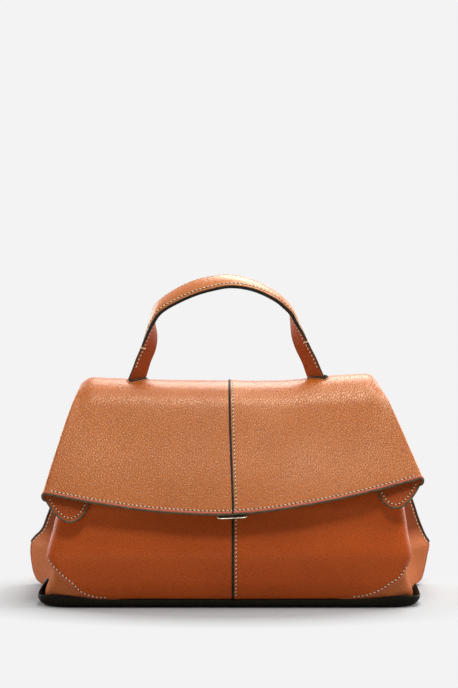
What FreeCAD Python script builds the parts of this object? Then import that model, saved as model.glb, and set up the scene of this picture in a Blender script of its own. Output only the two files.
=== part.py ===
# Top handle bag: soft leather body, folded front flap and an arched strap handle.
# Millimetres, +Z up, front of the bag towards -Y, origin under the middle of the base.
import FreeCAD
import Part

import math
import os
import re

import Sketcher

Vector = FreeCAD.Vector

# Driving sizes: name, value, meaning
SIZES = [
    ("leather", 2.0, "outer leather thickness"),
    ("lining", 0.8, "lining cloth thickness"),
    ("facing", 1.2, "leather facing round the mouth"),
    ("seam_gap", 0.2, "room between neighbouring sheets"),
    ("run_gap", 0.4, "room between pieces that move past each other"),
    ("reach", 400.0, "length that passes through the whole bag"),
    ("base_half_width", 168.0, "base, half its width"),
    ("base_half_depth", 64.0, "base, half its depth"),
    ("base_height", 7.0, "height of the dark base"),
    ("base_corner", 26.0, "base corner radius seen from above"),
    ("base_edge", 2.4, "rounding of the base edges"),
    ("board_half_width", 128.0, "stiff board in the bottom, half its width"),
    ("board_half_depth", 54.0, "stiff board in the bottom, half its depth"),
    ("board_thick", 1.6, "thickness of the board"),
    ("board_corner", 8.0, "corner radius of the board"),
    ("front_foot", 62.0, "front panel at its lower edge, distance forward"),
    ("front_belly", 66.0, "front panel at its belly, distance forward"),
    ("front_belly_up", 46.0, "height of the front belly"),
    ("front_break", 55.0, "front panel where it leans in, distance forward"),
    ("front_break_up", 88.0, "height where the front panel leans in"),
    ("front_top", 12.0, "front panel at its upper edge, distance forward"),
    ("front_top_up", 172.0, "height of the front panel's upper edge"),
    ("belly_round", 60.0, "radius of the soft belly"),
    ("break_round", 90.0, "radius where the front panel leans in"),
    ("front_low_half", 159.0, "front panel half width at the base"),
    ("front_mid_half", 150.0, "front panel half width where it leans in"),
    ("front_top_half", 116.0, "front panel half width at its upper edge"),
    ("front_corner", 38.0, "lower corner radius of the front panel"),
    ("side_round", 70.0, "radius of a soft side outline"),
    ("back_foot", 62.0, "back panel at its lower edge, distance back"),
    ("back_belly", 74.3, "back panel at its belly, distance back"),
    ("back_belly_up", 48.0, "height of the back belly"),
    ("back_top", 54.0, "back panel at its upper edge, distance back"),
    ("back_top_up", 177.2, "height of the back panel's upper edge"),
    ("back_low_half", 174.0, "back panel half width at the base"),
    ("back_tip_half", 181.0, "back panel half width at the wing tips"),
    ("back_tip_up", 44.0, "height of the wing tips"),
    ("back_top_half", 128.0, "back panel half width at its upper edge"),
    ("tip_round", 14.0, "radius of a wing tip"),
    ("gusset_thick", 1.8, "gusset leather thickness"),
    ("gusset_low_up", 7.4, "height of the lower gusset section"),
    ("gusset_mid_up", 44.0, "height of the widest gusset section"),
    ("gusset_top_up", 166.0, "height of the upper gusset section"),
    ("gusset_low_spread", 1.0, "gusset front corner beyond the front panel, lower section"),
    ("gusset_mid_spread", 1.9, "gusset front corner beyond the front panel, widest section"),
    ("gusset_top_spread", 14.6, "gusset front corner beyond the front panel, upper section"),
    ("gusset_low_tuck", 20.0, "depth of the inward fold, lower section"),
    ("gusset_mid_tuck", 23.0, "depth of the inward fold, widest section"),
    ("gusset_top_tuck", 29.0, "depth of the inward fold, upper section"),
    ("gusset_hem", 0.5, "gusset back edge inside the back panel's outline"),
    ("gusset_flange", 46.0, "width of the flange behind the front panel"),
    ("gusset_back_depth", 72.0, "gusset back edge before trimming, distance back"),
    ("gusset_fold_depth", 4.0, "gusset fold, distance back"),
    ("lining_half", 104.0, "front lining half width"),
    ("lining_low", 12.0, "height of the lining's lower edge"),
    ("back_lining_low_half", 156.0, "back lining half width, low"),
    ("back_lining_top_half", 120.0, "back lining half width, high"),
    ("facing_tall", 15.0, "height of the front facing"),
    ("facing_room", 1.0, "room between a facing and the lining under it"),
    ("facing_half", 104.0, "front facing half width"),
    ("pocket_half", 72.0, "slip pocket half width"),
    ("pocket_low", 52.0, "slip pocket lower edge"),
    ("pocket_high", 132.0, "slip pocket mouth"),
    ("pocket_round", 12.0, "slip pocket corner radius"),
    ("flap_back", 53.7, "flap at its back edge, distance back"),
    ("flap_back_up", 179.6, "height of the flap's back edge"),
    ("flap_crest", 3.0, "corner of the flap profile at the crest, distance forward"),
    ("flap_crest_up", 195.6, "height of that corner"),
    ("flap_edge", 70.4, "flap at its lower edge, distance forward"),
    ("flap_edge_up", 83.4, "height of the flap's lower edge at the middle"),
    ("crest_round", 18.0, "radius of the crest"),
    ("flap_over", 20.0, "profile run past the lower edge, trimmed away"),
    ("flap_top_half", 132.0, "flap half width at the crest"),
    ("flap_top_line", 194.5, "upper limit of the flap outline"),
    ("flap_top_round", 18.0, "radius of the flap's upper corners"),
    ("flap_low_half", 166.0, "flap half width at its lower corners"),
    ("flap_low_up", 105.4, "height of the flap's lower corners"),
    ("flap_drop", 43.0, "fall of the two edge tangents to the middle"),
    ("seam_half", 0.1, "half the gap along the middle seam"),
    ("fold_thick", 3.0, "width of the turned fold along the flap's side"),
    ("fold_deep", 5.6, "depth of the fold, both layers"),
    ("fold_top_up", 172.0, "upper end of the folded wing"),
    ("wing_top_wide", 10.0, "width of the wing at its upper end"),
    ("lobe_in", 123.5, "inner end of the wing's lobe"),
    ("lobe_in_up", 102.5, "height of the lobe's inner end"),
    ("lobe_low_up", 86.5, "height of the lobe's lowest point"),
    ("lobe_out", 155.0, "outer end of the lobe at the lowest height"),
    ("lobe_round", 13.0, "radius of the lobe's corners"),
    ("flap_lining_inset", 7.0, "distance of the flap lining from the flap's outline"),
    ("flap_lining_back", 46.0, "flap lining back edge, distance back"),
    ("plate_half", 13.0, "closure plate half width"),
    ("plate_thick", 1.2, "closure plate thickness"),
    ("plate_low_up", 76.8, "height of the closure plate's lower edge"),
    ("plate_high_up", 102.4, "height of the closure plate's upper edge"),
    ("magnet_round", 8.0, "closure magnet radius"),
    ("magnet_thick", 2.2, "closure magnet thickness"),
    ("magnet_up", 93.0, "height of the closure magnets on the flap"),
    ("handle_side", 79.0, "handle foot from the middle"),
    ("handle_back", 8.0, "handle line behind the middle of the bag"),
    ("handle_foot_up", 190.0, "lower end of the strap path before trimming"),
    ("handle_shoulder", 62.0, "handle shoulder from the middle"),
    ("handle_shoulder_up", 236.0, "height of the handle shoulder"),
    ("handle_rise", 41.6, "rise of the arch above the shoulders"),
    ("handle_pivot_up", 205.65, "height of the line that the handle tilts about"),
    ("handle_foot_round", 11.6, "radius of the strap's rounded foot"),
    ("handle_clip_up", 310.0, "height above the handle"),
    ("strap_half", 9.5, "strap half width"),
    ("strap_under", 1.4, "strap underside leather thickness"),
    ("strap_edge", 1.3, "strap top leather thickness at its edge"),
    ("strap_crown", 2.7, "rise of the padded crown over the edge"),
    ("strap_skin", 1.4, "top leather thickness over the core"),
    ("strap_crown_half", 5.0, "half width of the strap's flat crown"),
    ("core_half", 6.6, "half width of the padding at its lower face"),
    ("core_gap", 0.3, "room round the padding"),
    ("slot_half_long", 11.0, "handle slot trim, half length front to back"),
    ("slot_half_wide", 10.6, "handle slot trim, half width"),
    ("slot_thick", 1.0, "thickness of the slot trim"),
    ("slot_corner", 4.0, "corner radius of the slot trim"),
    ("anchor_front", 12.0, "handle anchor patch, reach in front of the handle"),
    ("anchor_back", 14.0, "handle anchor patch, reach behind the handle"),
    ("anchor_half_wide", 15.0, "handle anchor patch, half width"),
    ("anchor_thick", 1.4, "thickness of the handle anchor patch"),
]

# Handle angles in degrees and the arch angles where a strap section stands
LEG_TWIST = 45.0
GRIP_TIP = 18.0
ARCH_ANGLES = [9.0 * step for step in range(21)]
LEG_SHARES = (0.0, 0.5)
TWIST_END = 54.0
# Slope of the clip that rounds the strap's feet
FOOT_FLARE = 0.35
# Share of a bent edge that its arc takes up
ARC_SHARE = 0.96

NAMES = {name for name, value, meaning in SIZES}

doc = FreeCAD.newDocument("top_handle_bag")
sheet = doc.addObject("Spreadsheet::Sheet", "Sizes")
for row, (name, value, meaning) in enumerate(SIZES, start=1):
    sheet.set(f"A{row}", meaning)
    sheet.set(f"B{row}", str(value))
    sheet.setAlias(f"B{row}", name)
doc.recompute()


def linked(text):
    """The expression with each size name pointing at the sheet."""
    return re.sub(r"[a-z_]+", lambda m: f"Sizes.{m[0]}" if m[0] in NAMES else m[0], text)


def number(text):
    """Present value of an expression in size names."""
    return float(sheet.evalExpression(linked(text)))


def bind(obj, **links):
    """Tie properties of an object to expressions in size names."""
    for name, text in links.items():
        obj.setExpression(name.replace("__", "."), linked(text))
    return obj


# Sketches

PLANES = {
    "XY": FreeCAD.Rotation(),
    "XZ": FreeCAD.Rotation(Vector(1, 0, 0), 90),
    "YZ": FreeCAD.Rotation(Vector(1, 1, 1), 120),
}


def place_point(sketch, element, end, corner):
    """Hold a point of the sketch at the corner's two expressions."""
    for kind, text in zip(("DistanceX", "DistanceY"), corner):
        held = sketch.addConstraint(Sketcher.Constraint(kind, -1, 1, element, end, number(text)))
        sketch.setExpression(f"Constraints[{held}]", linked(text))


def rounding(before, at, after, radius):
    """The arc that rounds a corner: its two ends and its middle."""
    back = (before - at).normalize()
    on = (after - at).normalize()
    half = back.getAngle(on) / 2
    middle = (back + on).normalize()
    run = radius / math.tan(half)
    return at + back * run, at + middle * (radius / math.sin(half) - radius), at + on * run


def draw(sketch, corners, closed=True):
    """Straight runs between the corners, with an arc at each corner that gives a radius."""
    count = len(corners)
    spots = [Vector(number(c[0]), number(c[1]), 0) for c in corners]
    arcs = {}
    for i, corner in enumerate(corners):
        if len(corner) == 3:
            after = spots[(i + 1) % count]
            arcs[i] = rounding(spots[i - 1], spots[i], after, number(corner[2]))
    lines = {}
    for i in range(count if closed else count - 1):
        j = (i + 1) % count
        start = arcs[i][2] if i in arcs else spots[i]
        end = arcs[j][0] if j in arcs else spots[j]
        lines[i] = sketch.addGeometry(Part.LineSegment(start, end), False)
    for i, corner in enumerate(corners):
        into = lines.get((i - 1) % count)
        out = lines.get(i)
        if i in arcs:
            round_corner(sketch, corner, spots[i], arcs[i], into, out)
        elif out is None:
            place_point(sketch, into, 2, corner)
        else:
            place_point(sketch, out, 1, corner)
            if into is not None:
                sketch.addConstraint(Sketcher.Constraint("Coincident", into, 2, out, 1))


def round_corner(sketch, corner, spot, points, into, out):
    """One rounded corner: an arc tangent to both runs, whose lines still meet at the corner."""
    arc = sketch.addGeometry(Part.Arc(*points), False)
    first = 1 if sketch.getPoint(arc, 1).distanceToPoint(points[0]) < sketch.getPoint(
        arc, 2).distanceToPoint(points[0]) else 2
    sketch.addConstraint(Sketcher.Constraint("Tangent", into, 2, arc, first))
    sketch.addConstraint(Sketcher.Constraint("Tangent", arc, 3 - first, out, 1))
    held = sketch.addConstraint(Sketcher.Constraint("Radius", arc, number(corner[2])))
    sketch.setExpression(f"Constraints[{held}]", linked(corner[2]))
    point = sketch.addGeometry(Part.Point(spot), True)
    place_point(sketch, point, 1, corner)
    for line in (into, out):
        sketch.addConstraint(Sketcher.Constraint("PointOnObject", point, 1, line))


def sketch_in(plane, name, corners, closed=True):
    """A sketch in one of the main planes."""
    sketch = doc.addObject("Sketcher::SketchObject", name)
    sketch.Placement = FreeCAD.Placement(Vector(), PLANES[plane])
    draw(sketch, corners, closed)
    doc.recompute()
    return sketch


# Sheet pieces: a bent band seen from the side, trimmed by an outline

def offset(line, name, distance, fill):
    """A line moved sideways by a distance, or the band in between."""
    moved = doc.addObject("Part::Offset2D", name)
    moved.Source = line
    moved.Mode = "Skin"
    moved.Join = "Intersection"
    moved.Fill = fill
    bind(moved, Value=distance)
    doc.recompute()
    return moved


def band(line, name, start, thick):
    """The band from one depth under a line to that depth and a thickness more."""
    if start is not None:
        line = offset(line, f"{name}_start", start, False)
    return offset(line, f"{name}_band", thick, True)


def prism(face, name, along, ahead, behind):
    """A face drawn out along an axis, ahead and behind its plane."""
    solid = doc.addObject("Part::Extrusion", name)
    solid.Base = face
    solid.DirMode = "Custom"
    solid.Dir = along
    solid.Solid = True
    bind(solid, LengthFwd=ahead, LengthRev=behind)
    doc.recompute()
    return solid


def common(name, *shapes):
    """What the shapes share."""
    shared = doc.addObject("Part::MultiCommon", name)
    shared.Shapes = list(shapes)
    shared.Refine = True
    doc.recompute()
    return shared


def cut(name, whole, tool):
    """One shape less another."""
    left = doc.addObject("Part::Cut", name)
    left.Base = whole
    left.Tool = tool
    left.Refine = True
    doc.recompute()
    return left


def fuse(name, *shapes):
    """The shapes as one."""
    joined = doc.addObject("Part::MultiFuse", name)
    joined.Shapes = list(shapes)
    joined.Refine = True
    doc.recompute()
    return joined


def mirrored(source, name):
    """The same piece on the other side of the bag."""
    other = doc.addObject("Part::Mirroring", name)
    other.Source = source
    other.Normal = Vector(1, 0, 0)
    doc.recompute()
    return other


def across(face, name):
    """A side view face drawn out over the whole width."""
    return prism(face, name, Vector(1, 0, 0), "reach", "reach")


def outline(name, corners, ahead="reach", behind="reach"):
    """A front view outline drawn out through the bag, or between two depths."""
    face = sketch_in("XZ", f"{name}_outline", corners)
    return prism(face, f"{name}_through", Vector(0, 1, 0), ahead, behind)


def sheet_piece(name, line, start, thick, trim):
    """A leather, cloth or board sheet: a band across the bag, trimmed by its outline."""
    return common(name, across(band(line, name, start, thick), f"{name}_across"), trim)


def both_sides(right):
    """Corners of a whole outline from its right half, listed from low to high."""
    left = [(f"-({c[0]})",) + tuple(c[1:]) for c in reversed(right)]
    return list(right) + left


# Lines of the bag seen from the side

front_line = sketch_in("YZ", "front_line", [
    ("-front_foot", "base_height + seam_gap"),
    ("-front_belly", "front_belly_up", "belly_round"),
    ("-front_break", "front_break_up", "break_round"),
    ("-front_top", "front_top_up"),
], closed=False)

back_line = sketch_in("YZ", "back_line", [
    ("back_top", "back_top_up"),
    ("back_belly", "back_belly_up", "belly_round"),
    ("back_foot", "base_height + seam_gap"),
], closed=False)

FLAP_LEAN = "(flap_edge - flap_crest) / (flap_crest_up - flap_edge_up)"
flap_line = sketch_in("YZ", "flap_line", [
    (f"-flap_edge - flap_over * {FLAP_LEAN}", "flap_edge_up - flap_over"),
    ("-flap_crest", "flap_crest_up", "crest_round"),
    ("flap_back", "flap_back_up"),
], closed=False)

LINING_DEPTH = "leather + seam_gap"
FACING_LOW = "front_top_up - facing_tall"
LINING_HIGH = f"{FACING_LOW} - facing_room"
INNER_DEPTH = "leather + lining + 2 * seam_gap"


# Base

def body_pad(name, plane, corners, length, start=None):
    """A body with one padded sketch, and the pad's offset above its plane."""
    body = doc.addObject("PartDesign::Body", name)
    sketch = body.newObject("Sketcher::SketchObject", f"{name}_sketch")
    home = [f for f in body.Origin.OriginFeatures if f.Role == f"{plane}_Plane"]
    sketch.AttachmentSupport = [(home[0], "")]
    sketch.MapMode = "FlatFace"
    draw(sketch, corners)
    if start is not None:
        bind(sketch, AttachmentOffset__Base__z=start)
    pad = body.newObject("PartDesign::Pad", f"{name}_pad")
    pad.Profile = sketch
    bind(pad, Length=length)
    doc.recompute()
    return body, pad


def rounded_box(half_wide, half_deep, corner):
    """Corners of a rounded rectangle about the origin."""
    return [
        (f"-({half_wide})", f"-({half_deep})", corner),
        (half_wide, f"-({half_deep})", corner),
        (half_wide, half_deep, corner),
        (f"-({half_wide})", half_deep, corner),
    ]


def base_panel():
    """The dark base, rounded along its upper and lower edges."""
    body, pad = body_pad("base_panel", "XY",
                         rounded_box("base_half_width", "base_half_depth", "base_corner"),
                         "base_height")
    soft = body.newObject("PartDesign::Fillet", "base_panel_soft")
    level = [f"Face{i}" for i, face in enumerate(pad.Shape.Faces, start=1)
             if abs(face.normalAt(0, 0).z) > math.cos(math.radians(1))]
    soft.Base = (pad, level)
    bind(soft, Radius="base_edge")
    doc.recompute()
    return body


def base_board():
    """The stiff board that lies on the base."""
    return body_pad("base_board", "XY",
                    rounded_box("board_half_width", "board_half_depth", "board_corner"),
                    "board_thick", start="base_height")[0]


def lining_base():
    """The cloth over the board."""
    return body_pad("lining_base", "XY",
                    rounded_box("board_half_width", "board_half_depth", "board_corner"),
                    "lining", start="base_height + board_thick")[0]


# Front and back panels

def front_panels():
    """The two halves of the front, which meet along the middle seam."""
    low = "base_height + seam_gap"
    half = outline("front_half", [
        ("seam_half", low),
        ("front_low_half", low, "front_corner"),
        ("front_mid_half", "front_break_up", "side_round"),
        ("front_top_half", "front_top_up"),
        ("seam_half", "front_top_up"),
    ])
    right = sheet_piece("front_panel_right", front_line, None, "leather", half)
    return [right, mirrored(right, "front_panel_left")]


def back_panel():
    """The whole back, widest at the wing tips."""
    whole = outline("back_whole", both_sides([
        ("back_low_half", "base_height + seam_gap", "tip_round"),
        ("back_tip_half", "back_tip_up", "tip_round"),
        ("back_top_half", "back_top_up"),
    ]))
    return sheet_piece("back_panel", back_line, None, "leather", whole)


# Gussets: bands seen from above at three heights, joined up and trimmed by the panels

FRONT_LEAN_LOW = "(front_low_half - front_mid_half) / (front_break_up - base_height)"
FRONT_LEAN_TOP = "(front_mid_half - front_top_half) / (front_top_up - front_break_up)"
BACK_LEAN_TOP = "(back_tip_half - back_top_half) / (back_top_up - back_tip_up)"
# Half widths of the front and back panels at each gusset section
PANEL_HALVES = {
    "low": ("front_low_half", "back_low_half"),
    "mid": (f"front_low_half - (gusset_mid_up - base_height) * {FRONT_LEAN_LOW}",
            f"back_tip_half - (gusset_mid_up - back_tip_up) * {BACK_LEAN_TOP}"),
    "top": (f"front_mid_half - (gusset_top_up - front_break_up) * {FRONT_LEAN_TOP}",
            f"back_tip_half - (gusset_top_up - back_tip_up) * {BACK_LEAN_TOP}"),
}


def gusset_path(level):
    """The folded path of the right gusset at one height, from the back panel to the front flange."""
    forward = "front_foot - leather - seam_gap"
    if level != "low":
        forward = "front_belly - leather - 2 * seam_gap"
    front_half, back_half = PANEL_HALVES[level]
    front = f"{front_half} + gusset_{level}_spread"
    path = sketch_in("XY", f"gusset_path_{level}", [
        (f"{back_half} - gusset_hem", "gusset_back_depth"),
        (f"{front} - gusset_{level}_tuck", "gusset_fold_depth"),
        (front, f"-({forward})"),
        (f"{front} - gusset_flange", f"-({forward})"),
    ], closed=False)
    bind(path, Placement__Base__z=f"gusset_{level}_up")
    doc.recompute()
    return path


def outside(line, name, start, side):
    """A thick slab that covers all outside a panel's inner face."""
    shifted = offset(line, f"{name}_inner", start, False)
    return across(offset(shifted, f"{name}_slab", side, True), f"{name}_outside")


def gusset_sheet(name, start, thick, trims):
    """A right gusset sheet from its three sections, less what lies outside the panels."""
    loft = doc.addObject("Part::Loft", f"{name}_loft")
    loft.Sections = [band(path, f"{name}_{level}", start, thick) for level, path in gusset_paths.items()]
    loft.Solid = True
    loft.Ruled = True
    doc.recompute()
    front, back = trims
    return cut(name, cut(f"{name}_front_cut", loft, front), back)


def gussets():
    """Gussets and their linings, on both sides."""
    pieces = []
    trims = (outside(front_line, "front", "leather + seam_gap", "-front_belly"),
             outside(back_line, "back", "leather + seam_gap", "-front_belly"))
    for name, start, thick in (("gusset", None, "gusset_thick"),
                               ("lining_gusset", "gusset_thick + seam_gap", "lining")):
        right = gusset_sheet(f"{name}_right", start, thick, trims)
        pieces += [right, mirrored(right, f"{name}_left")]
    return pieces


gusset_paths = {level: gusset_path(level) for level in ("low", "mid", "top")}


# Inside of the bag

def box_corners(half_low, half_high, low, high):
    """A symmetrical four cornered outline."""
    return both_sides([(half_low, low), (half_high, high)])


def linings():
    """Front and back cloth, the facings round the mouth and the slip pocket."""
    front = outline("lining_front", box_corners("lining_half", "lining_half",
                                                "lining_low", LINING_HIGH))
    back = outline("lining_back", box_corners("back_lining_low_half", "back_lining_top_half",
                                              "lining_low", LINING_HIGH))
    front_face = outline("facing_front", box_corners("facing_half", "facing_half",
                                                     FACING_LOW, "front_top_up"))
    back_face = outline("facing_back", box_corners("back_lining_top_half", "back_lining_top_half",
                                                   FACING_LOW, "back_top_up"))
    pocket = outline("inner_pocket", both_sides([("pocket_half", "pocket_low", "pocket_round"),
                                                 ("pocket_half", "pocket_high")]))
    return [
        sheet_piece("lining_front", front_line, LINING_DEPTH, "lining", front),
        sheet_piece("lining_back", back_line, LINING_DEPTH, "lining", back),
        sheet_piece("facing_front", front_line, LINING_DEPTH, "facing", front_face),
        sheet_piece("facing_back", back_line, LINING_DEPTH, "facing", back_face),
        sheet_piece("inner_pocket", back_line, INNER_DEPTH, "lining", pocket),
    ]


# Flap

SIDE_LEAN = "(flap_low_half - flap_top_half) / (flap_top_line - flap_low_up)"


def edge_arc(half):
    """Radius of the wide arc along a lower edge of the given half width."""
    return f"{ARC_SHARE} * ({half}) * sqrt(({half})^2 + flap_drop^2) / flap_drop"


def flap_half():
    """Outline of the flap's right half, with its lower edge part of a wide arc."""
    whole = outline("flap_whole", [
        ("0", "flap_low_up - flap_drop", edge_arc("flap_low_half")),
        ("flap_low_half", "flap_low_up"),
        ("flap_top_half", "flap_top_line", "flap_top_round"),
        ("-flap_top_half", "flap_top_line", "flap_top_round"),
        ("-flap_low_half", "flap_low_up"),
    ])
    right = outline("flap_right_side", [
        ("seam_half", "0"),
        ("reach", "0"),
        ("reach", "reach"),
        ("seam_half", "reach"),
    ])
    return common("flap_half_through", whole, right)


def side_at(up, inward):
    """Distance from the middle of the flap's side at a height, less a width."""
    return f"flap_low_half - ({up} - flap_low_up) * {SIDE_LEAN} - ({inward})"


def flap_fold():
    """The turned edge that joins the flap's front to the wing behind it."""
    strip = outline("flap_fold", [
        (side_at("flap_low_up", "0"), "flap_low_up"),
        (side_at("fold_top_up", "0"), "fold_top_up"),
        (side_at("fold_top_up", "fold_thick"), "fold_top_up"),
        (side_at("flap_low_up", "fold_thick"), "flap_low_up"),
    ], ahead="0")
    return sheet_piece("flap_fold_strip", flap_line, None, "fold_deep", strip)


def flap_wing():
    """The wing folded back behind the flap, with its rounded lobe."""
    shape = outline("flap_wing", [
        (side_at("flap_low_up", "0"), "flap_low_up"),
        (side_at("fold_top_up", "0"), "fold_top_up"),
        (side_at("fold_top_up", "wing_top_wide"), "fold_top_up"),
        ("lobe_in", "lobe_in_up"),
        ("lobe_in", "lobe_low_up", "lobe_round"),
        ("lobe_out", "lobe_low_up", "lobe_round"),
    ], ahead="0")
    return sheet_piece("flap_wing_sheet", flap_line, "fold_deep - leather", "leather", shape)


def flap_roll():
    """The rounded back edge that the flap turns on."""
    run = "sqrt((flap_crest_up - flap_back_up)^2 + (flap_back + flap_crest)^2)"
    roll = doc.addObject("Part::Cylinder", "flap_roll")
    roll.Placement.Rotation = FreeCAD.Rotation(Vector(0, 1, 0), 90)
    bind(roll, Radius="leather / 2", Height=side_at("flap_back_up", "seam_half + leather / 2"),
         Placement__Base__x="seam_half",
         Placement__Base__y=f"flap_back - leather / 2 * (flap_crest_up - flap_back_up) / {run}",
         Placement__Base__z=f"flap_back_up - leather / 2 * (flap_back + flap_crest) / {run}")
    doc.recompute()
    return roll


def flap_leather():
    """The two halves of the flap, each with its fold and wing in one piece."""
    front = sheet_piece("flap_front_sheet", flap_line, None, "leather", flap_half())
    right = fuse("flap_right", front, flap_roll(), flap_fold(), flap_wing())
    return [right, mirrored(right, "flap_left")]


def flap_lining():
    """The cloth under the flap, inside its outline."""
    half = side_at("flap_low_up", "flap_lining_inset")
    shape = outline("flap_lining", [
        ("0", "flap_low_up - flap_drop + flap_lining_inset", edge_arc(half)),
        (half, "flap_low_up + flap_lining_inset"),
        ("flap_top_half - flap_lining_inset", "flap_top_line"),
        ("-flap_top_half + flap_lining_inset", "flap_top_line"),
        (f"-({half})", "flap_low_up + flap_lining_inset"),
    ], ahead="flap_lining_back")
    return sheet_piece("flap_lining", flap_line, LINING_DEPTH, "lining", shape)


# Closure

def closure_plate():
    """The thin metal plate under the flap, whose lower edge just shows."""
    corners = box_corners("plate_half", "plate_half", "plate_low_up", "plate_high_up")
    shape = outline("closure_plate", corners, ahead="0")
    return sheet_piece("closure_plate", flap_line, INNER_DEPTH, "plate_thick", shape)


FLAP_FALL = "(flap_crest_up - flap_edge_up)"
FLAP_OUT = "(flap_edge - flap_crest)"
FLAP_RUN = f"sqrt({FLAP_FALL}^2 + {FLAP_OUT}^2)"
SLANT_START = 120.0


def disc(name, thick, depth):
    """A disc square to the flap's front, starting at a depth behind the flap."""
    piece = doc.addObject("Part::Cylinder", name)
    slant = FreeCAD.Rotation(Vector(-1, 0, 0), SLANT_START)
    piece.Placement = FreeCAD.Placement(Vector(), slant)
    piece.setExpression("Placement.Rotation.Angle", linked(f"180 deg - atan({FLAP_FALL} / {FLAP_OUT})"))
    ahead = f"flap_edge - (magnet_up - flap_edge_up) * {FLAP_LEAN}"
    bind(piece, Radius="magnet_round", Height=thick,
         Placement__Base__y=f"-({ahead}) + ({depth}) * {FLAP_FALL} / {FLAP_RUN}",
         Placement__Base__z=f"magnet_up - ({depth}) * {FLAP_OUT} / {FLAP_RUN}")
    doc.recompute()
    return piece


def closure_magnets():
    """The magnet on the flap's plate and the catch that stands on the front panel."""
    plate_depth = f"{INNER_DEPTH} + plate_thick"
    magnet = disc("flap_magnet", "magnet_thick", plate_depth)
    long_catch = disc("catch_post", "front_foot", f"{plate_depth} + magnet_thick + run_gap")
    skin = offset(front_line, "catch_skin", "-seam_gap / 2", False)
    behind = across(offset(skin, "catch_slab", "front_belly", True), "catch_behind")
    return [magnet, cut("catch_magnet", long_catch, behind)]


# Handle mounts on the flap

def plan_prism(name, corners):
    """A plan outline drawn up through the bag."""
    face = sketch_in("XY", f"{name}_plan", corners)
    return prism(face, f"{name}_upright", Vector(0, 0, 1), "reach", "0")


def foot_box(half_wide, front, back, *corner):
    """Corners of a plan box about the right handle foot."""
    return [
        (f"handle_side - {half_wide}", f"handle_back - {front}", *corner),
        (f"handle_side + {half_wide}", f"handle_back - {front}", *corner),
        (f"handle_side + {half_wide}", f"handle_back + {back}", *corner),
        (f"handle_side - {half_wide}", f"handle_back + {back}", *corner),
    ]


def handle_slots():
    """The trims on the crest that the strap's feet stand on."""
    plan = foot_box("slot_half_wide", "slot_half_long", "slot_half_long", "slot_corner")
    over = across(band(flap_line, "slot", "-seam_gap", "-slot_thick"), "slot_across")
    right = common("handle_slot_right", over, plan_prism("slot", plan))
    return [right, mirrored(right, "handle_slot_left")]


def handle_anchors():
    """The stiff patches under the crest that the strap's ends are fixed to."""
    patch = plan_prism("anchor_patch", foot_box("anchor_half_wide", "anchor_front", "anchor_back"))
    under = across(band(flap_line, "anchor", INNER_DEPTH, "anchor_thick"), "anchor_across")
    right = common("handle_anchor_right", under, patch)
    return [right, mirrored(right, "handle_anchor_left")]


# Handle strap: one arch with twisted legs, in three layers

def strap_stations():
    """Points of the strap's path from foot to foot, with the outward direction and the twist."""
    back = number("handle_back")
    foot = Vector(number("handle_side"), back, number("handle_foot_up"))
    shoulder = Vector(number("handle_shoulder"), back, number("handle_shoulder_up"))
    rise = number("handle_rise")
    leg = shoulder - foot
    leg_out = Vector(leg.z, 0, -leg.x).normalize()
    right = [(foot + leg * share, leg_out, LEG_TWIST) for share in LEG_SHARES]
    left = [(Vector(-p.x, p.y, p.z), Vector(-out.x, 0, out.z), twist) for p, out, twist in reversed(right)]
    arch = []
    for angle in ARCH_ANGLES:
        turn = math.radians(angle)
        point = Vector(shoulder.x * math.cos(turn), back, shoulder.z + rise * math.sin(turn))
        out = Vector(rise * math.cos(turn), 0, shoulder.x * math.sin(turn)).normalize()
        arch.append((point, out, strap_twist(min(angle, ARCH_ANGLES[-1] - angle))))
    return right + arch + left


def strap_twist(angle):
    """Twist of the strap at an arch angle: the legs turn out to the front, the grip tips forward."""
    share = min(angle / TWIST_END, 1)
    ease = share * share * (3 - 2 * share)
    return LEG_TWIST - (LEG_TWIST + GRIP_TIP) * ease


def strap_layer(name, section):
    """One layer of the strap, lofted through its section at each station."""
    wires = []
    for point, out, twist in strap_stations():
        turn = math.radians(twist)
        wide = Vector(0, math.cos(turn), 0) - out * math.sin(turn)
        up = out * math.cos(turn) + Vector(0, math.sin(turn), 0)
        corners = [point + wide * p + up * q for p, q in section]
        wires.append(Part.makePolygon(corners + corners[:1]))
    layer = doc.addObject("Part::Feature", name)
    layer.Shape = Part.makeLoft(wires, True, True)
    return layer


def strap_sections():
    """Cross sections of the strap's layers: across the strap, then outwards."""
    half = number("strap_half")
    under = number("strap_under")
    gap = number("core_gap")
    edge = gap + number("strap_edge")
    crown = edge + number("strap_crown")
    flat = number("strap_crown_half")
    skin = number("strap_skin")
    core = number("core_half")
    inner_flat = flat - skin / 2
    return {
        "handle_underside": [(-half, -under), (half, -under), (half, 0), (-half, 0)],
        "handle_core": [(-core, gap), (core, gap), (inner_flat, crown - skin - gap),
                        (-inner_flat, crown - skin - gap)],
        "handle_top": [(-half, gap), (-half, edge), (-flat, crown),
                       (flat, crown), (half, edge), (half, gap),
                       (core + gap, gap), (inner_flat + gap, crown - skin),
                       (-inner_flat - gap, crown - skin), (-core - gap, gap)],
    }


def handle():
    """The strap's layers with their feet rounded about the line that the handle tilts on."""
    apex = f"handle_pivot_up - handle_foot_round * sqrt(1 + {FOOT_FLARE}^2) / {FOOT_FLARE}"
    spread = f"{FOOT_FLARE} * (handle_clip_up - ({apex}))"
    shape = sketch_in("YZ", "handle_clip", [
        (f"handle_back - {spread}", "handle_clip_up"),
        ("handle_back", apex, "handle_foot_round"),
        (f"handle_back + {spread}", "handle_clip_up"),
    ])
    clip = across(shape, "handle_clip_across")
    return [common(name, strap_layer(f"{name}_loft", section), clip)
            for name, section in strap_sections().items()]


# Build, check and write

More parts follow.
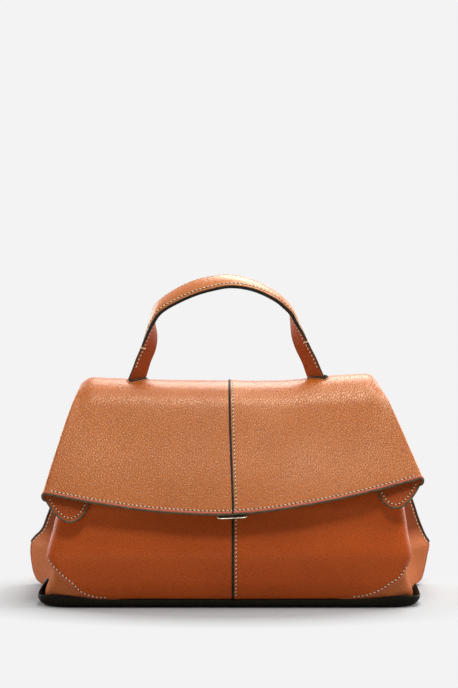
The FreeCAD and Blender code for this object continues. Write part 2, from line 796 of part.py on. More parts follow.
pieces = [base_panel(), base_board(), lining_base()]
pieces += front_panels()
pieces += [back_panel()]
pieces += gussets()
pieces += linings()
pieces += flap_leather()
pieces += [flap_lining(), closure_plate()]
pieces += closure_magnets()
pieces += handle_slots()
pieces += handle_anchors()
pieces += handle()
doc.recompute()

for thing in doc.Objects:
    if "Invalid" in thing.State or "Error" in thing.State:
        raise RuntimeError(f"{thing.Label} did not build")

os.makedirs("parts", exist_ok=True)
for piece in pieces:
    shape = piece.Shape
    if shape.isNull() or not shape.isValid() or len(shape.Solids) != 1:
        raise RuntimeError(f"{piece.Label} is not one sound solid")
    shape.exportStep(f"parts/{piece.Label}.step")
    print(piece.Label, round(shape.Volume), shape.BoundBox)
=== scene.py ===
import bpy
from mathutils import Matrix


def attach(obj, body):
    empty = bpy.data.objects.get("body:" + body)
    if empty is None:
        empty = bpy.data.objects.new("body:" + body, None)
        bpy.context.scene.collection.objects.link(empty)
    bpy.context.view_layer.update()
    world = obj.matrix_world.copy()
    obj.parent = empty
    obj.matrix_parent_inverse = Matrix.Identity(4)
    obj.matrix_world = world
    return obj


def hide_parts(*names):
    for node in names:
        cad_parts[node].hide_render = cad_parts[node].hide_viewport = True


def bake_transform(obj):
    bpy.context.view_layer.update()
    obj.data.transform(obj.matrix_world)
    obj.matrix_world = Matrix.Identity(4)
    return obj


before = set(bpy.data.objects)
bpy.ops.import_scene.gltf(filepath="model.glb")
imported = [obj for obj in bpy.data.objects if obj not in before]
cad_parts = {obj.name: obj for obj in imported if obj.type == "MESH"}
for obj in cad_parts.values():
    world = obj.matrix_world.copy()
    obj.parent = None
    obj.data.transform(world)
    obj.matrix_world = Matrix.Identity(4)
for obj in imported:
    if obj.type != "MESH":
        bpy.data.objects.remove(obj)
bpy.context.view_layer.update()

import math

import bpy
import numpy as np
from mathutils import Vector

# Shapes are worked out in millimetres and become metres when a mesh is made
MM = 0.001

# Camera: where it stands seen from the middle of the bag's front, and how wide it sees
CAMERA_TARGET = (0.0, -66.0, 100.0)
CAMERA_DISTANCE = 2200.0
CAMERA_ELEVATION = 8.0
CAMERA_SIGHT = 100.0
FRAME_HIGH = 688
FOCAL_PIXELS = 2558.0
TARGET_DROP_PIXELS = 150.0
SENSOR = 36.0

# Floor and lamps: metres and watts; a lamp has a name, place, target, size and power
WORLD_LEVEL = 0.16
FLOOR_HALF = 12.0
# Where the floor paper's painted shade fades into the plain background
FLOOR_FADE = (5.4, 9.5, 1.0)
FLOOR_FADE_RANGE = (0.95, 1.5)
LAMPS = [
    ("key_light", (0.05, -0.72, 1.74), (0, 0, 0.12), (0.45, 0.40), 13),
    ("top_light", (0.55, -0.05, 1.50), (0.05, 0.05, 0.15), (0.6, 0.8), 15),
    ("back_light", (0.20, 0.85, 1.25), (0, 0, 0.15), (0.8, 0.9), 18),
    ("front_light", (-0.3, -2.2, 0.30), (0, 0, 0.06), (1.0, 0.5), 7),
    ("side_light", (1.10, 0.80, 0.48), (0, 0, 0.06), (1.1, 0.8), 14),
    ("side_light", (-1.10, 0.80, 0.48), (0, 0, 0.06), (1.1, 0.8), 14),
]

# Colours in linear light
WHITE = (1, 1, 1, 1)
TAN = (0.50, 0.128, 0.018, 1)
TAN_DEEP = (0.24, 0.046, 0.006, 1)
TAN_SHADED = (0.51, 0.092, 0.016, 1)
TAN_SHADED_DEEP = (0.24, 0.030, 0.004, 1)
# Gusset leather: a paler copy of the tan leather, with sheen painted into its colour in place of gloss
SIDE_TAN_PAINTED_SHEEN = (0.56, 0.165, 0.055, 1)
SIDE_DEEP = (0.15, 0.028, 0.010, 1)
RUSSET = (0.46, 0.090, 0.020, 1)
RUSSET_DEEP = (0.22, 0.034, 0.007, 1)
# Rose leather: the turned edge at the front panels' corners, and the band along the flap's edge, whose
# paleness there is painted highlight on its bevel
ROSE = (0.58, 0.150, 0.090, 1)
ROSE_DEEP = (0.40, 0.090, 0.048, 1)
# Painted shade of the stitch grooves, laid on flat strips
GROOVE = (0.150, 0.036, 0.010, 1)
GROOVE_DEEP = (0.080, 0.020, 0.006, 1)
BLACK = (0.0050, 0.0042, 0.0035, 1)
BLACK_DEEP = (0.0020, 0.0016, 0.0013, 1)
PAINT = (0.012, 0.009, 0.006, 1)
PAINT_WORN = (0.034, 0.025, 0.016, 1)
OLIVE = (0.085, 0.074, 0.042, 1)
OLIVE_WORN = (0.150, 0.130, 0.080, 1)
GLOSS_TINT = (1.0, 0.82, 0.58, 1)
THREAD = (0.78, 0.60, 0.38, 1)
THREAD_DEEP = (0.50, 0.37, 0.20, 1)
GOLD = (0.66, 0.58, 0.44, 1)
# Closure plate metal: its darkness is painted shade for its place in the flap's shadow
BRONZE = (0.085, 0.055, 0.035, 1)
STEEL = (0.52, 0.52, 0.50, 1)
CLOTH = (0.30, 0.20, 0.115, 1)
CLOTH_DEEP = (0.17, 0.105, 0.055, 1)
CARD = (0.20, 0.15, 0.10, 1)
FLOOR_TONE = (0.896, 0.896, 0.896, 1)
# Floor paper near the bag: darker than the plain background, so it paints shade round the bag as well as
# taking its cast shadow
SHADED_FLOOR_PAPER = (0.42, 0.42, 0.42, 1)

# Surfaces: reliefs and drift in millimetres, scales of patterns for each metre
GRAIN_SLANT = math.radians(35)
GRAIN_STRETCH = 0.62
GRAIN_DRIFT = 1.8
CREASE_WIDE = 0.2
FINE_SHARE = 0.12
# Painted shade on the upper gussets: its strength, and how much rougher the leather gets there
PAINTED_SHADE_STRENGTH = 0.85
PAINTED_SHADE_ROUGHER = 0.4
DRIFT_SCALE = 260.0
FINE_SCALE = 2600.0
MOTTLE_SCALE = 22.0
CLOUD_SCALE = 7.0
WEAR_SCALE = 260.0
TWIST_SCALE = 420.0
BRUSH_SCALE = (40.0, 2400.0, 2400.0)
SMUDGE_SCALE = 160.0
SMUDGE_DULL = 0.8
SMUDGE_ROUGHER = 0.12
WEAVE_SCALE = 190.0
SLUB_SCALE = 70.0
PAINT_RELIEF = 0.2
THREAD_RELIEF = 0.1
BRUSH_RELIEF = 0.05
WEAVE_RELIEF = 0.15

# Soft uneven waves: how their direction, length and start change from one to the next
RIPPLES = 4
RIPPLE_SEED_TURN = 1.7
RIPPLE_TURN = 1.1
RIPPLE_GROWTH = 0.35
RIPPLE_START = 2.3

# Body: height and measure pairs
FRONT_Y = [
    (3, -56.5), (7.2, -58.4), (12, -61.4), (18, -63.6), (25, -64.9), (46, -65.4), (60, -60.8),
    (71, -56), (80, -52.6), (90, -49.5), (130, -32.5), (172, -12),
]
BACK_Y = [(3, 61), (7.2, 62), (28, 69.5), (48, 73), (90, 68.5), (130, 62), (177.2, 54)]
FRONT_HALF = [
    (3, 162), (8, 162), (14, 160.5), (22, 157), (32, 154), (38, 155.5), (45, 157.5), (55, 155.8),
    (65, 153), (80, 149.5), (88, 147.5), (130, 136), (172, 119),
]
# The right side of the front is wider under the flap
RIGHT_WIDER = [(3, 0), (40, 0), (55, 1), (65, 2), (80, 3.5), (95, 3.5), (140, 0), (172, 0)]
FRONT_ROUND = [(3, 22), (18, 18), (34, 11), (60, 10), (172, 10)]
BACK_HALF_RIGHT = [
    (3, 175), (8, 177), (16, 179.2), (25, 181.2), (35, 183), (43, 178.6), (52, 174.8), (61, 171.4),
    (75, 166.8), (100, 157), (130, 146), (177.2, 128),
]
BACK_HALF_LEFT = [
    (3, 175), (11, 178.6), (22, 180.8), (30, 181.4), (36, 180.6), (41, 177.2), (46, 172), (51, 168.8),
    (57, 166.6), (65, 163.6), (75, 160.2), (100, 153), (130, 145), (177.2, 128),
]
FOLD_TUCK = [(3, 1), (14, 3), (32, 3), (40, 6), (47, 17), (54, 22), (80, 25), (166, 28)]
FOLD_Y = 4.0
FOLD_SOFT = 7.0
# Heights over which painted shade darkens the upper gussets
GUSSET_PAINTED_SHADE_HEIGHTS = (36.0, 52.0)
# Lower edge of a front panel: distance from the middle seam, and height
PANEL_LOW_RIGHT = [
    (0, 7.6), (70, 7.8), (100, 8), (115, 8.6), (126, 10.8), (139, 16.4), (149, 23.7), (158, 32.4),
    (163, 38.6), (180, 54),
]
PANEL_LOW_LEFT = [
    (0, 7.6), (70, 7.8), (100, 7.4), (112, 7.2), (120, 8.4), (131.6, 13), (144, 25), (153.2, 34),
    (162, 44.7), (180, 60),
]
PANEL_TOP = 171.0
PANEL_MIDDLE = 60.0
SEAM_X = 3.8
SEAM_FADE = 130.0
GUSSET_TOP = 166.0
BACK_TOP = 177.2
BACK_EDGE_IN = 1.0
BODY_LOW = 3.6
WING_EDGE_LOW = 36.0
LEATHER = 2.0
THIN_LEATHER = 1.3
CLOTH_THICK = 0.7

# Swell of a panel: size, lower end and height; its waves: size, length, lower end and fade
FRONT_SWELL = (2.2, 5.0, 110.0)
FRONT_WAVE, FRONT_WAVE_LONG = 1.1, 80.0
FRONT_WAVE_RISE = (8.0, 20.0)
BACK_SWELL = (1.8, 5.0, 172.0)
BACK_WAVE, BACK_WAVE_LONG = 0.5, 110.0
BACK_RISE = (6.0, 15.0)
GUSSET_INSET = 2.1
GUSSET_SAG, GUSSET_SAG_LONG = 2.0, 120.0
GUSSET_SAG_RISE = 40.0
GUSSET_SAG_FALL = 30.0

# Grid steps of the body
FRONT_STEPS = 44
CORNER_STEPS = 16
FLAT_STEPS = 10
FOLD_STEPS = 8
FLANGE_STEPS = 14
FLANGE_EASE = 3
WALL_LEVELS = 140
PANEL_ROWS = 72
GUSSET_ROWS = 90
BACK_ROWS, BACK_COLUMNS = 80, 91

# Inside: lining, facings round the mouth and slip pocket
LINING_TOP = 156.0
LINING_LOW = 10.0
LINING_GAP = 4.2
LINING_BACK = 3.2
LINING_REAR_SHARE = 0.9
LINING_ROWS, LINING_REAR_STEPS = 60, 50
LINING_EDGE_STEPS = 4
LINING_FLOOR_WIDE = 138.0
LINING_FLOOR_DEEP = 54.0
LINING_FLOOR_DROP = 0.4
LINING_FLOOR_WAVE, LINING_FLOOR_WAVE_LONG = 0.3, 70.0
LINING_FLOOR_STEPS = (61, 31)
FACING_LOW = 153.0
FACING_HALF = (106.0, 120.0)
FACING_FRONT = 4.6
FACING_BACK = 3.4
FACING_BACK_DROP = 0.4
POCKET_HALF = 72.0
POCKET_HEIGHTS = (52.0, 132.0)
POCKET_BACK = 4.2
HUNG_STEPS = (61, 24)

# Flap: profile corners seen from the side, with the reach of each rounding
FLAP_CORNERS = [(57.6, 158), (53.9, 179.8), (-4.5, 200.2), (-80.2, 67)]
FLAP_REACH = [5.0, 34.0]
HINGE_RUN = 22.0
HINGE_SOFT = 20.0
FLAP_EDGE_Z = 83.6
FLAP_CORNER_Z = 106.0
FLAP_EDGE_POWER = 1.7
FLAP_CORNER_HALF = 165.0
FLAP_LEAN = 0.375
FLAP_TOP_HALF = 130.6
FLAP_SHIFT = 0.9
FOLD_RADIUS = [(60, 4.0), (104, 4.0), (130, 2.6), (172, 2.1), (200, 2.1)]
# Lower edge of a folded wing: share of its width from the fold inwards, and height
LOBE_EDGE = [
    (0, 102.4), (0.1, 96.6), (0.214, 91.4), (0.36, 87), (0.5, 85.2), (0.63, 85.8), (0.78, 89.4),
    (0.9, 96), (0.96, 102), (1, 107),
]
FOLD_FALL = 3.6
LOBE_WIDE = 39.0
WING_TOP_WIDE = 9.0
WING_TOP_Z = 172.0
WING_DEEPER = 1.2
FLAP_TURN = math.radians(2.2)
FLAP_TURN_SPEED = 1.1
CREST_TURN = math.radians(0.4)
SIDE_SHARE = 0.5
# The crest dips in the middle, rises to the right and falls at both shoulders
CREST_SOFT = 34.0
CREST_DIP = 4.2
CREST_RISE = 2.0
CREST_RIGHT_RISE = 3.4
CREST_RIGHT_X, CREST_RIGHT_LONG = 40.0, 60.0
SHOULDER_LEFT, SHOULDER_RIGHT = 7.0, 12.0
SHOULDER_X, SHOULDER_LONG = 117.0, 18.0
SHOULDER_SOFT = 30.0
# Waves of the flap: size, length and seed
FLAP_WAVES = ((1.3, 120.0, 1.0), (0.35, 47.0, 4.0))
CREST_CALM = 0.5
# Grid steps of the flap, its seam and its lining, where the seam starts, and where the lining lies
FLAP_ROWS = 110
FLAP_FRONT_STEPS = 66
FLAP_FOLD_STEPS = 10
FLAP_WING_STEPS = 20
FLAP_SEAM_STEPS = 160
FLAP_SEAM_START = 4.0
FLAP_LINING_STEPS = (81, 80)
FLAP_LINING_IN = 8.0
FLAP_LINING_UP = 7.0
FLAP_LINING_GAP = 0.15

# Slots and anchor patches of the handle's feet
SLOT_Z = 191.5
SLOT_LIFT = 0.3
SLOT_STEPS = 48
SLOT_POWER = 4
ANCHOR_X = 79.0
ANCHOR_HALF = 14.0
ANCHOR_FRONT = -2.0
ANCHOR_BACK = 21.0
ANCHOR_STEPS = 25

# Closure plate
PLATE_HALF = 12.6
PLATE_X = -1.4
PLATE_SHOWS = 3.0
PLATE_LIP = 0.9
PLATE_TALL = 20.0
PLATE_THICK = 1.2
PLATE_CORNER = 1.2
PLATE_CORNER_POWER = 12
PLATE_DEPTH = 1.0
LIP_DEPTH = 0.6
PLATE_STEPS = (25, 16)

# Handle: middle of the strap seen from the front, and its lean at each point
HANDLE_LINE = [
    (-83.6, 187), (-79.3, 198), (-75.7, 208.7), (-71.3, 219.4), (-68.7, 230), (-67.3, 240.5),
    (-63.8, 251), (-57, 258.4), (-43.6, 266.6), (-29.3, 272.9), (-15, 276.6), (-1, 278.4),
    (13.3, 276.7), (27.6, 271.8), (41.8, 263.8), (50, 256.4), (54.9, 250), (57.6, 241.5),
    (61.3, 230), (65.6, 219.4), (70.9, 208.7), (75.1, 198), (79.8, 187),
]
HANDLE_LEAN = [
    -56, -52, -48, -44, -27, -4, 14, 23, 30, 33, 31, 26, 20, 14, 9, 5, -1, -12, -32, -44, -48, -52, -56,
]
HANDLE_Y = 8.0
HANDLE_POINTS = 170
STRAP_STEPS = 17
STRAP_HALF = 9.5
STRAP_FOOT_HALF = 8.2
STRAP_FOOT_THICK = 0.6
STRAP_UNDER = 1.6
STRAP_EDGE = 1.5
STRAP_CROWN = 2.6
STRAP_ROUND = 2.4
STRAP_ROUND_END = 0.9
STRAP_BULGE = 0.35
STRAP_EDGE_SHARES = (0.4, 0.5)
STRAP_STITCH = 2.0
STRAP_STITCH_TILT = math.radians(24)
STRAP_STITCH_LIFT = 0.02
STRAP_SEWN_LOW = 200.0
STRAP_SMOOTH_ANGLE = 40
PADDING_Z = (212.0, 240.0)
# Thread loops over the strap's edge: heights, reach, rounding, and directions round the edge
BARTACK_Z = (217.8, 224.0)
BARTACK_WIDE = 4.4
BARTACK_UNDER = 0.2
BARTACK_OVER = 0.6
BARTACK_IN, BARTACK_UP = 0.3, 0.4
BARTACK_RISE = 0.5
BARTACK_WAYS = [(0, -1), (0.4, -1), (1, -0.4), (1, 0.4), (0.4, 1), (0.2, 1)]

# Stitching: a stitch is a rounded capsule, thinner towards its ends
STITCH_PITCH = 3.5
STITCH_LONG = 2.4
STITCH_WIDE = 1.05
STITCH_HIGH = 0.5
STITCH_SLANT = math.radians(12)
STITCH_LOOK = 0.5
STITCH_SIDES = 8
STITCH_REACH = [-1, -0.8, -0.3, 0.3, 0.8, 1]
STITCH_GIRTH = [0.25, 0.8, 1, 1, 0.8, 0.25]
STITCH_CAP = [[0, 1, 2, 3], [0, 3, 4, 7], [4, 5, 6, 7]]
STITCH_SMOOTH_ANGLE = 80
LOBE_PITCH = 3.3
LOBE_LONG = 1.8
GROOVE_WIDE = 1.1
GROOVE_LIFT = 0.12
SEAM_STITCH = 2.2
SEAM_STITCH_LIFT = 0.85
PANEL_STITCH = 1.9
WING_STITCH = 4.2
WING_STITCH_LIFT = 0.1
REAR_STITCH_LIFT = 0.2
FLAP_STITCH = 3.0

# Seams and edges: beads by width and height, and how far they are moved
BEAD_SIDES = 8
SEAM_BEAD = (2.4, 1.8)
CORNER_BEAD = (1.5, 2.3)
WING_BEAD = (4.0, 2.3)
FLAP_BEAD = (1.9, 2.5)
BAND_BEAD = (2.0, 0.8)
BAND_INSET = 1.3
SEAM_LIFT = 0.9
SEAM_SOFT = 8.0
SEAM_EDGE_X, SEAM_EDGE_Y = -0.3, 0.35
FLAP_SEAM_LIFT = 0.25
CORNER_DEEP = 0.9
WING_EDGE_OUT, WING_EDGE_BACK = 0.2, 0.6
# Grid steps from an edge to the points on its inner side, and the stretches that show or are sewn
INNER_STEPS = 8
WING_INNER_STEPS = 5
SEAM_INNER_STEPS = 4
CORNER_SHOWN = slice(30, None)
SEAM_SEWN = slice(4, -1)
CORNER_SEWN = slice(33, -4)
FLAP_SEAM_SEWN = slice(2, -3)

# Base: outline, turned up corners, and its rim from the middle of the bottom over the lip to the inside
BASE_HALF_WIDE = 167.5
BASE_HALF_DEEP = 61.4
BASE_POWER = 12.0
BASE_STEPS = 240
# Places where the rim is turned up: middle, rise, and how far it is pushed inwards
BASE_EARS = [(-166, -8, 9, 6), (166, -14, 5, 1), (-150, -60, 4, 0), (150, -60, 3, 0)]
EAR_WIDE = 22.0
EAR_DEEP = 24.0
# The rim falls towards the back, where the gussets stand outside it
RIM_FALL = 4.5
RIM_FALL_Y = (2.0, 32.0)
# The ends of the base roll up from the floor: how far in, up to which height, and over which length
END_ROLL = 7.0
END_ROLL_HIGH = 9.0
END_ROLL_LONG = 40.0
# Rim: distance inwards, height, and the share of the rise of the ears
BASE_RIM = [
    (64, 0, 0), (20, 0, 0), (3, 0.2, 0), (0.8, 1.2, 0), (0.1, 3, 0.1), (0, 5, 0.5), (0.3, 6.6, 0.9),
    (1.2, 7.4, 1), (2.2, 6.8, 1), (2.6, 4.6, 0.4), (3, 3.2, 0), (12, 2.6, 0), (64, 2.6, 0),
]

SIDES = ((1, "right"), (-1, "left"))
FORWARD = np.array([0.0, -1.0, 0.0])


# Curves

def smooth_path(points, per_span=24):
    """A smooth line through the points, as closely spaced points."""
    points = np.asarray(points, float)
    knots = np.vstack([2 * points[0] - points[1], points, 2 * points[-1] - points[-2]])
    t = np.linspace(0, 1, per_span, endpoint=False)[:, None]
    spans = []
    for a, b, c, d in zip(knots, knots[1:], knots[2:], knots[3:]):
        cubic = 3 * b - a - 3 * c + d
        square = 2 * a - 5 * b + 4 * c - d
        spans.append(0.5 * (2 * b + (c - a) * t + square * t ** 2 + cubic * t ** 3))
    return np.vstack([*spans, points[-1:]])


def smooth_table(pairs):
    """A function that reads a smooth curve through pairs of key and value."""
    line = smooth_path(pairs)
    return lambda key: np.interp(key, line[:, 0], line[:, 1])


def curve_between(start, control, stop, t):
    """Points of a curve that leaves its start, and reaches its stop, in line with the control point."""
    return (1 - t) ** 2 * start + 2 * t * (1 - t) * control + t ** 2 * stop


def rounded_line(corners, reaches, turns=32):
    """A line through the corners, each inner one rounded from this far before it to this far after it."""
    corners = np.asarray(corners, float)
    t = np.linspace(0, 1, turns)[:, None]
    pieces = [corners[:1]]
    for before, corner, after, reach in zip(corners, corners[1:], corners[2:], reaches):
        start = corner + unit(before - corner) * reach
        stop = corner + unit(after - corner) * reach
        pieces.append(curve_between(start, corner, stop, t))
    return np.vstack([*pieces, corners[-1:]])


def runs(line):
    """Distance along a line at each of its points."""
    return np.concatenate([[0], np.cumsum(np.linalg.norm(np.diff(line, axis=0), axis=1))])


def at(line, run, where):
    """Points of a line at these distances along it."""
    return np.stack([np.interp(where, run, line[:, k]) for k in range(line.shape[1])], axis=-1)


def ramp(value, low, long):
    """Even step from 0 at the low value to 1 after this length."""
    return np.clip((value - low) / long, 0, 1)


def ease(t):
    """Smooth step from 0 to 1."""
    t = np.clip(t, 0, 1)
    return t * t * (3 - 2 * t)


def near(distance, reach):
    """1 at no distance, falling smoothly to 0 beyond the reach."""
    return np.exp(-(distance / reach) ** 2)


def unit(vectors):
    return vectors / np.maximum(np.linalg.norm(vectors, axis=-1, keepdims=True), 1e-9)


def ripple(u, v, long, seed):
    """Soft uneven waves, the same in every run."""
    total = 0
    for step in range(RIPPLES):
        angle = seed * RIPPLE_SEED_TURN + step * RIPPLE_TURN
        wave = long * (1 + RIPPLE_GROWTH * step)
        along = u * math.cos(angle) + v * math.sin(angle)
        total = total + np.sin(along * 2 * math.pi / wave + seed + step * RIPPLE_START)
    return total / RIPPLES


# Meshes

def add_mesh(name, points, faces, uvs, materials, kinds=None, flat_angle=50):
    """A smooth mesh in the shared frame, from points in millimetres."""
    mesh = bpy.data.meshes.new(name)
    mesh.from_pydata((np.asarray(points) * MM).tolist(), [], [list(map(int, face)) for face in faces])
    for material in materials:
        mesh.materials.append(material)
    layer = mesh.uv_layers.new(name="grain")
    corner = np.empty(len(mesh.loops), int)
    mesh.loops.foreach_get("vertex_index", corner)
    layer.data.foreach_set("uv", (np.asarray(uvs, float) * MM)[corner].ravel())
    if kinds is not None:
        mesh.polygons.foreach_set("material_index", np.asarray(kinds, np.int32))
    mesh.polygons.foreach_set("use_smooth", np.ones(len(mesh.polygons), bool))
    mesh.set_sharp_from_angle(angle=math.radians(flat_angle))
    mesh.validate()
    piece = bpy.data.objects.new(name, mesh)
    bpy.context.scene.collection.objects.link(piece)
    return piece


def grid_quads(rows, columns, first=0):
    index = first + np.arange(rows * columns).reshape(rows, columns)
    quads = np.stack([index[:-1, :-1], index[:-1, 1:], index[1:, 1:], index[1:, :-1]], axis=-1)
    return quads.reshape(-1, 4)


def ring_quads(index):
    """Quads between rings of points that follow each other along the last axis but one."""
    turned = np.roll(index, -1, axis=-1)
    quads = [index[..., :-1, :], turned[..., :-1, :], turned[..., 1:, :], index[..., 1:, :]]
    return np.stack(quads, axis=-1).reshape(-1, 4)


def tube_faces(rows, columns):
    """Faces of a tube made of rings, closed at both ends."""
    index = np.arange(rows * columns).reshape(rows, columns)
    return [*ring_quads(index).tolist(), index[0, ::-1].tolist(), index[-1].tolist()]


def grid_normals(points):
    """Unit normals of a grid of points."""
    down = np.gradient(points, axis=0)
    across = np.gradient(points, axis=1)
    return unit(np.cross(across, down))


def face_normals(points, flip):
    """Unit normals on the face side of a sheet's grid."""
    return grid_normals(points) if flip else -grid_normals(points)


def sheet(name, points, uvs, thick, materials, flip=False):
    """A leather or cloth sheet: a grid for its face, one for its back, and its cut edge all round.

    The back lies on the side that columns and rows turn towards, or on the other one where flip is set.
    """
    if flip:
        points = points[:, ::-1]
        uvs = uvs[:, ::-1]
    rows, columns = points.shape[:2]
    count = rows * columns
    back = points + grid_normals(points) * thick
    face_quads = grid_quads(rows, columns)[:, ::-1]
    back_quads = grid_quads(rows, columns, count)
    index = np.arange(count).reshape(rows, columns)
    loop = np.concatenate([index[0, :-1], index[:-1, -1], index[-1, :0:-1], index[:0:-1, 0]])
    after = np.roll(loop, -1)
    rim_quads = np.stack([loop, after, after + count, loop + count], axis=-1)
    faces = np.vstack([face_quads, back_quads, rim_quads])
    kinds = np.repeat([0, 1, 2], [len(face_quads), len(back_quads), len(rim_quads)])
    both = np.vstack([points.reshape(-1, 3), back.reshape(-1, 3)])
    flat = np.vstack([uvs.reshape(-1, 2), uvs.reshape(-1, 2)])
    return add_mesh(name, both, faces, flat, materials, kinds)


def inset(edge, normals, inner, distance):
    """The edge moved over the surface by a distance, towards the inner points."""
    along = unit(np.gradient(edge, axis=0))
    side = unit(np.cross(normals, along))
    towards = ((inner - edge) * side).sum(axis=-1, keepdims=True)
    return edge + np.where(towards < 0, -side, side) * distance


def sides_of(path, normals):
    """Side and upward directions along a path that lies on a surface."""
    along = unit(np.gradient(path, axis=0))
    side = unit(np.cross(along, normals))
    return side, unit(np.cross(side, along))


def bead(name, path, normals, size, material, closed=False):
    """A rounded strip of this width and height along a path on a surface."""
    if closed:
        path = np.vstack([path, path[:1]])
        normals = np.vstack([normals, normals[:1]])
    wide, high = size
    side, up = sides_of(path, normals)
    angle = np.linspace(0, 2 * math.pi, BEAD_SIDES, endpoint=False)
    over = side[:, None] * (np.cos(angle) * wide / 2)[None, :, None]
    points = path[:, None] + over + up[:, None] * (np.sin(angle) * high / 2)[None, :, None]
    rows = len(path)
    uvs = np.stack([np.repeat(runs(path), BEAD_SIDES), np.tile(angle * wide / 2, rows)], axis=-1)
    return add_mesh(name, points.reshape(-1, 3), tube_faces(rows, BEAD_SIDES), uvs, [material])


def stitch_points(path, normals, pitch, long):
    """Points and quads of a row of stitches along a path on a surface."""
    run = runs(path)
    count = max(int(run[-1] / pitch), 1)
    middle = (np.arange(count) + 0.5) * run[-1] / count
    centre = at(path, run, middle)
    normal = unit(at(normals, run, middle))
    along = unit(at(path, run, middle + STITCH_LOOK) - at(path, run, middle - STITCH_LOOK))
    side = unit(np.cross(along, normal))
    along = along * math.cos(STITCH_SLANT) + side * math.sin(STITCH_SLANT)
    side = unit(np.cross(along, normal))
    reach = np.array(STITCH_REACH) * long / 2
    girth = np.array(STITCH_GIRTH)[:, None]
    angle = np.linspace(0, 2 * math.pi, STITCH_SIDES, endpoint=False)
    points = (
        centre[:, None, None]
        + along[:, None, None] * reach[None, :, None, None]
        + side[:, None, None] * (girth * np.cos(angle) * STITCH_WIDE / 2)[None, :, :, None]
        + normal[:, None, None] * (girth * np.sin(angle) * STITCH_HIGH)[None, :, :, None]
    )
    index = np.arange(points.size // 3).reshape(points.shape[:3])
    caps = [index[:, 0, quad] for quad in STITCH_CAP] + [index[:, -1, quad[::-1]] for quad in STITCH_CAP]
    return points.reshape(-1, 3), np.vstack([ring_quads(index), *caps])


def groove_points(path, normals):
    """Points and quads of the flat dark strip that a row of stitches lies on, painted shade for its groove.
    """
    side, up = sides_of(path, normals)
    edges = np.stack([path - side * GROOVE_WIDE / 2, path + side * GROOVE_WIDE / 2], axis=1)
    points = edges + up[:, None] * GROOVE_LIFT
    return points.reshape(-1, 3), grid_quads(len(path), 2)


def stitches(name, rows, pitch=STITCH_PITCH, long=STITCH_LONG):
    """Rows of stitches, each on a flat strip of painted groove shade, joined into one piece; each row is a
    path and its normals.
    """
    points, faces, kinds, first = [], [], [], 0
    for path, normals in rows:
        made = (stitch_points(path, normals, pitch, long), groove_points(path, normals))
        for kind, (some, quads) in enumerate(made):
            points.append(some)
            faces.append(quads + first)
            kinds.append(np.full(len(quads), kind))
            first += len(some)
    points = np.vstack(points)
    return add_mesh(name, points, np.vstack(faces), points[:, [0, 2]], [stitch_thread, groove_leather],
                    np.concatenate(kinds), STITCH_SMOOTH_ANGLE)


# Materials

def new_material(name):
    material = bpy.data.materials.new(name)
    material.use_nodes = True
    return material, material.node_tree, material.node_tree.nodes["Principled BSDF"]


def set_inputs(tree, node, inputs):
    """Set a node's inputs, given as values or as sockets of other nodes."""
    for name, value in inputs.items():
        if isinstance(value, bpy.types.NodeSocket):
            tree.links.new(value, node.inputs[name])
        else:
            node.inputs[name].default_value = value


def add_node(tree, kind, inputs, **settings):
    """A shader node with its settings and inputs."""
    node = tree.nodes.new("ShaderNode" + kind)
    for name, value in settings.items():
        setattr(node, name, value)
    set_inputs(tree, node, inputs)
    return node


def grain_place(tree):
    return add_node(tree, "UVMap", {}, uv_map="grain").outputs["UV"]


def object_place(tree):
    return add_node(tree, "TexCoord", {}).outputs["Object"]


def combine(tree, operation, *values):
    return add_node(tree, "Math", dict(enumerate(values)), operation=operation).outputs["Value"]


def noise(tree, place, scale, detail=3.0):
    return add_node(tree, "TexNoise", {"Vector": place, "Scale": scale, "Detail": detail}).outputs["Fac"]


def spread(tree, value, low, high, to_low, to_high):
    inputs = {"Value": value, "From Min": low, "From Max": high, "To Min": to_low, "To Max": to_high}
    return add_node(tree, "MapRange", inputs).outputs["Result"]


def blend_colours(tree, factor, first, second):
    """A colour mix; the numbers are the places of the colour sockets on the node."""
    return add_node(tree, "Mix", {0: factor, 6: first, 7: second}, data_type="RGBA").outputs[2]


def bump(tree, height, strength, relief):
    inputs = {"Height": height, "Strength": strength, "Distance": relief * MM}
    return add_node(tree, "Bump", inputs).outputs["Normal"]


def pebbles(tree, place, cell):
    """Slanting rounded grains: 0 in the creases between them, 1 on their tops."""
    inputs = {"Vector": place, "Scale": DRIFT_SCALE, "Detail": 2.0}
    drift = add_node(tree, "TexNoise", inputs).outputs["Color"]
    bent = add_node(tree, "VectorMath", {0: drift, 1: (GRAIN_DRIFT * MM,) * 3, 2: place},
                    operation="MULTIPLY_ADD").outputs["Vector"]
    slanted = add_node(tree, "Mapping", {"Vector": bent, "Rotation": (0, 0, GRAIN_SLANT),
                                         "Scale": (1.0, GRAIN_STRETCH, 1.0)}).outputs["Vector"]
    edge = add_node(tree, "TexVoronoi", {"Vector": slanted, "Scale": 1 / (cell * MM), "Randomness": 0.9},
                    feature="DISTANCE_TO_EDGE").outputs["Distance"]
    return add_node(tree, "MapRange", {"Value": edge, "From Min": 0.0, "From Max": CREASE_WIDE},
                    interpolation_type="SMOOTHSTEP").outputs["Result"]


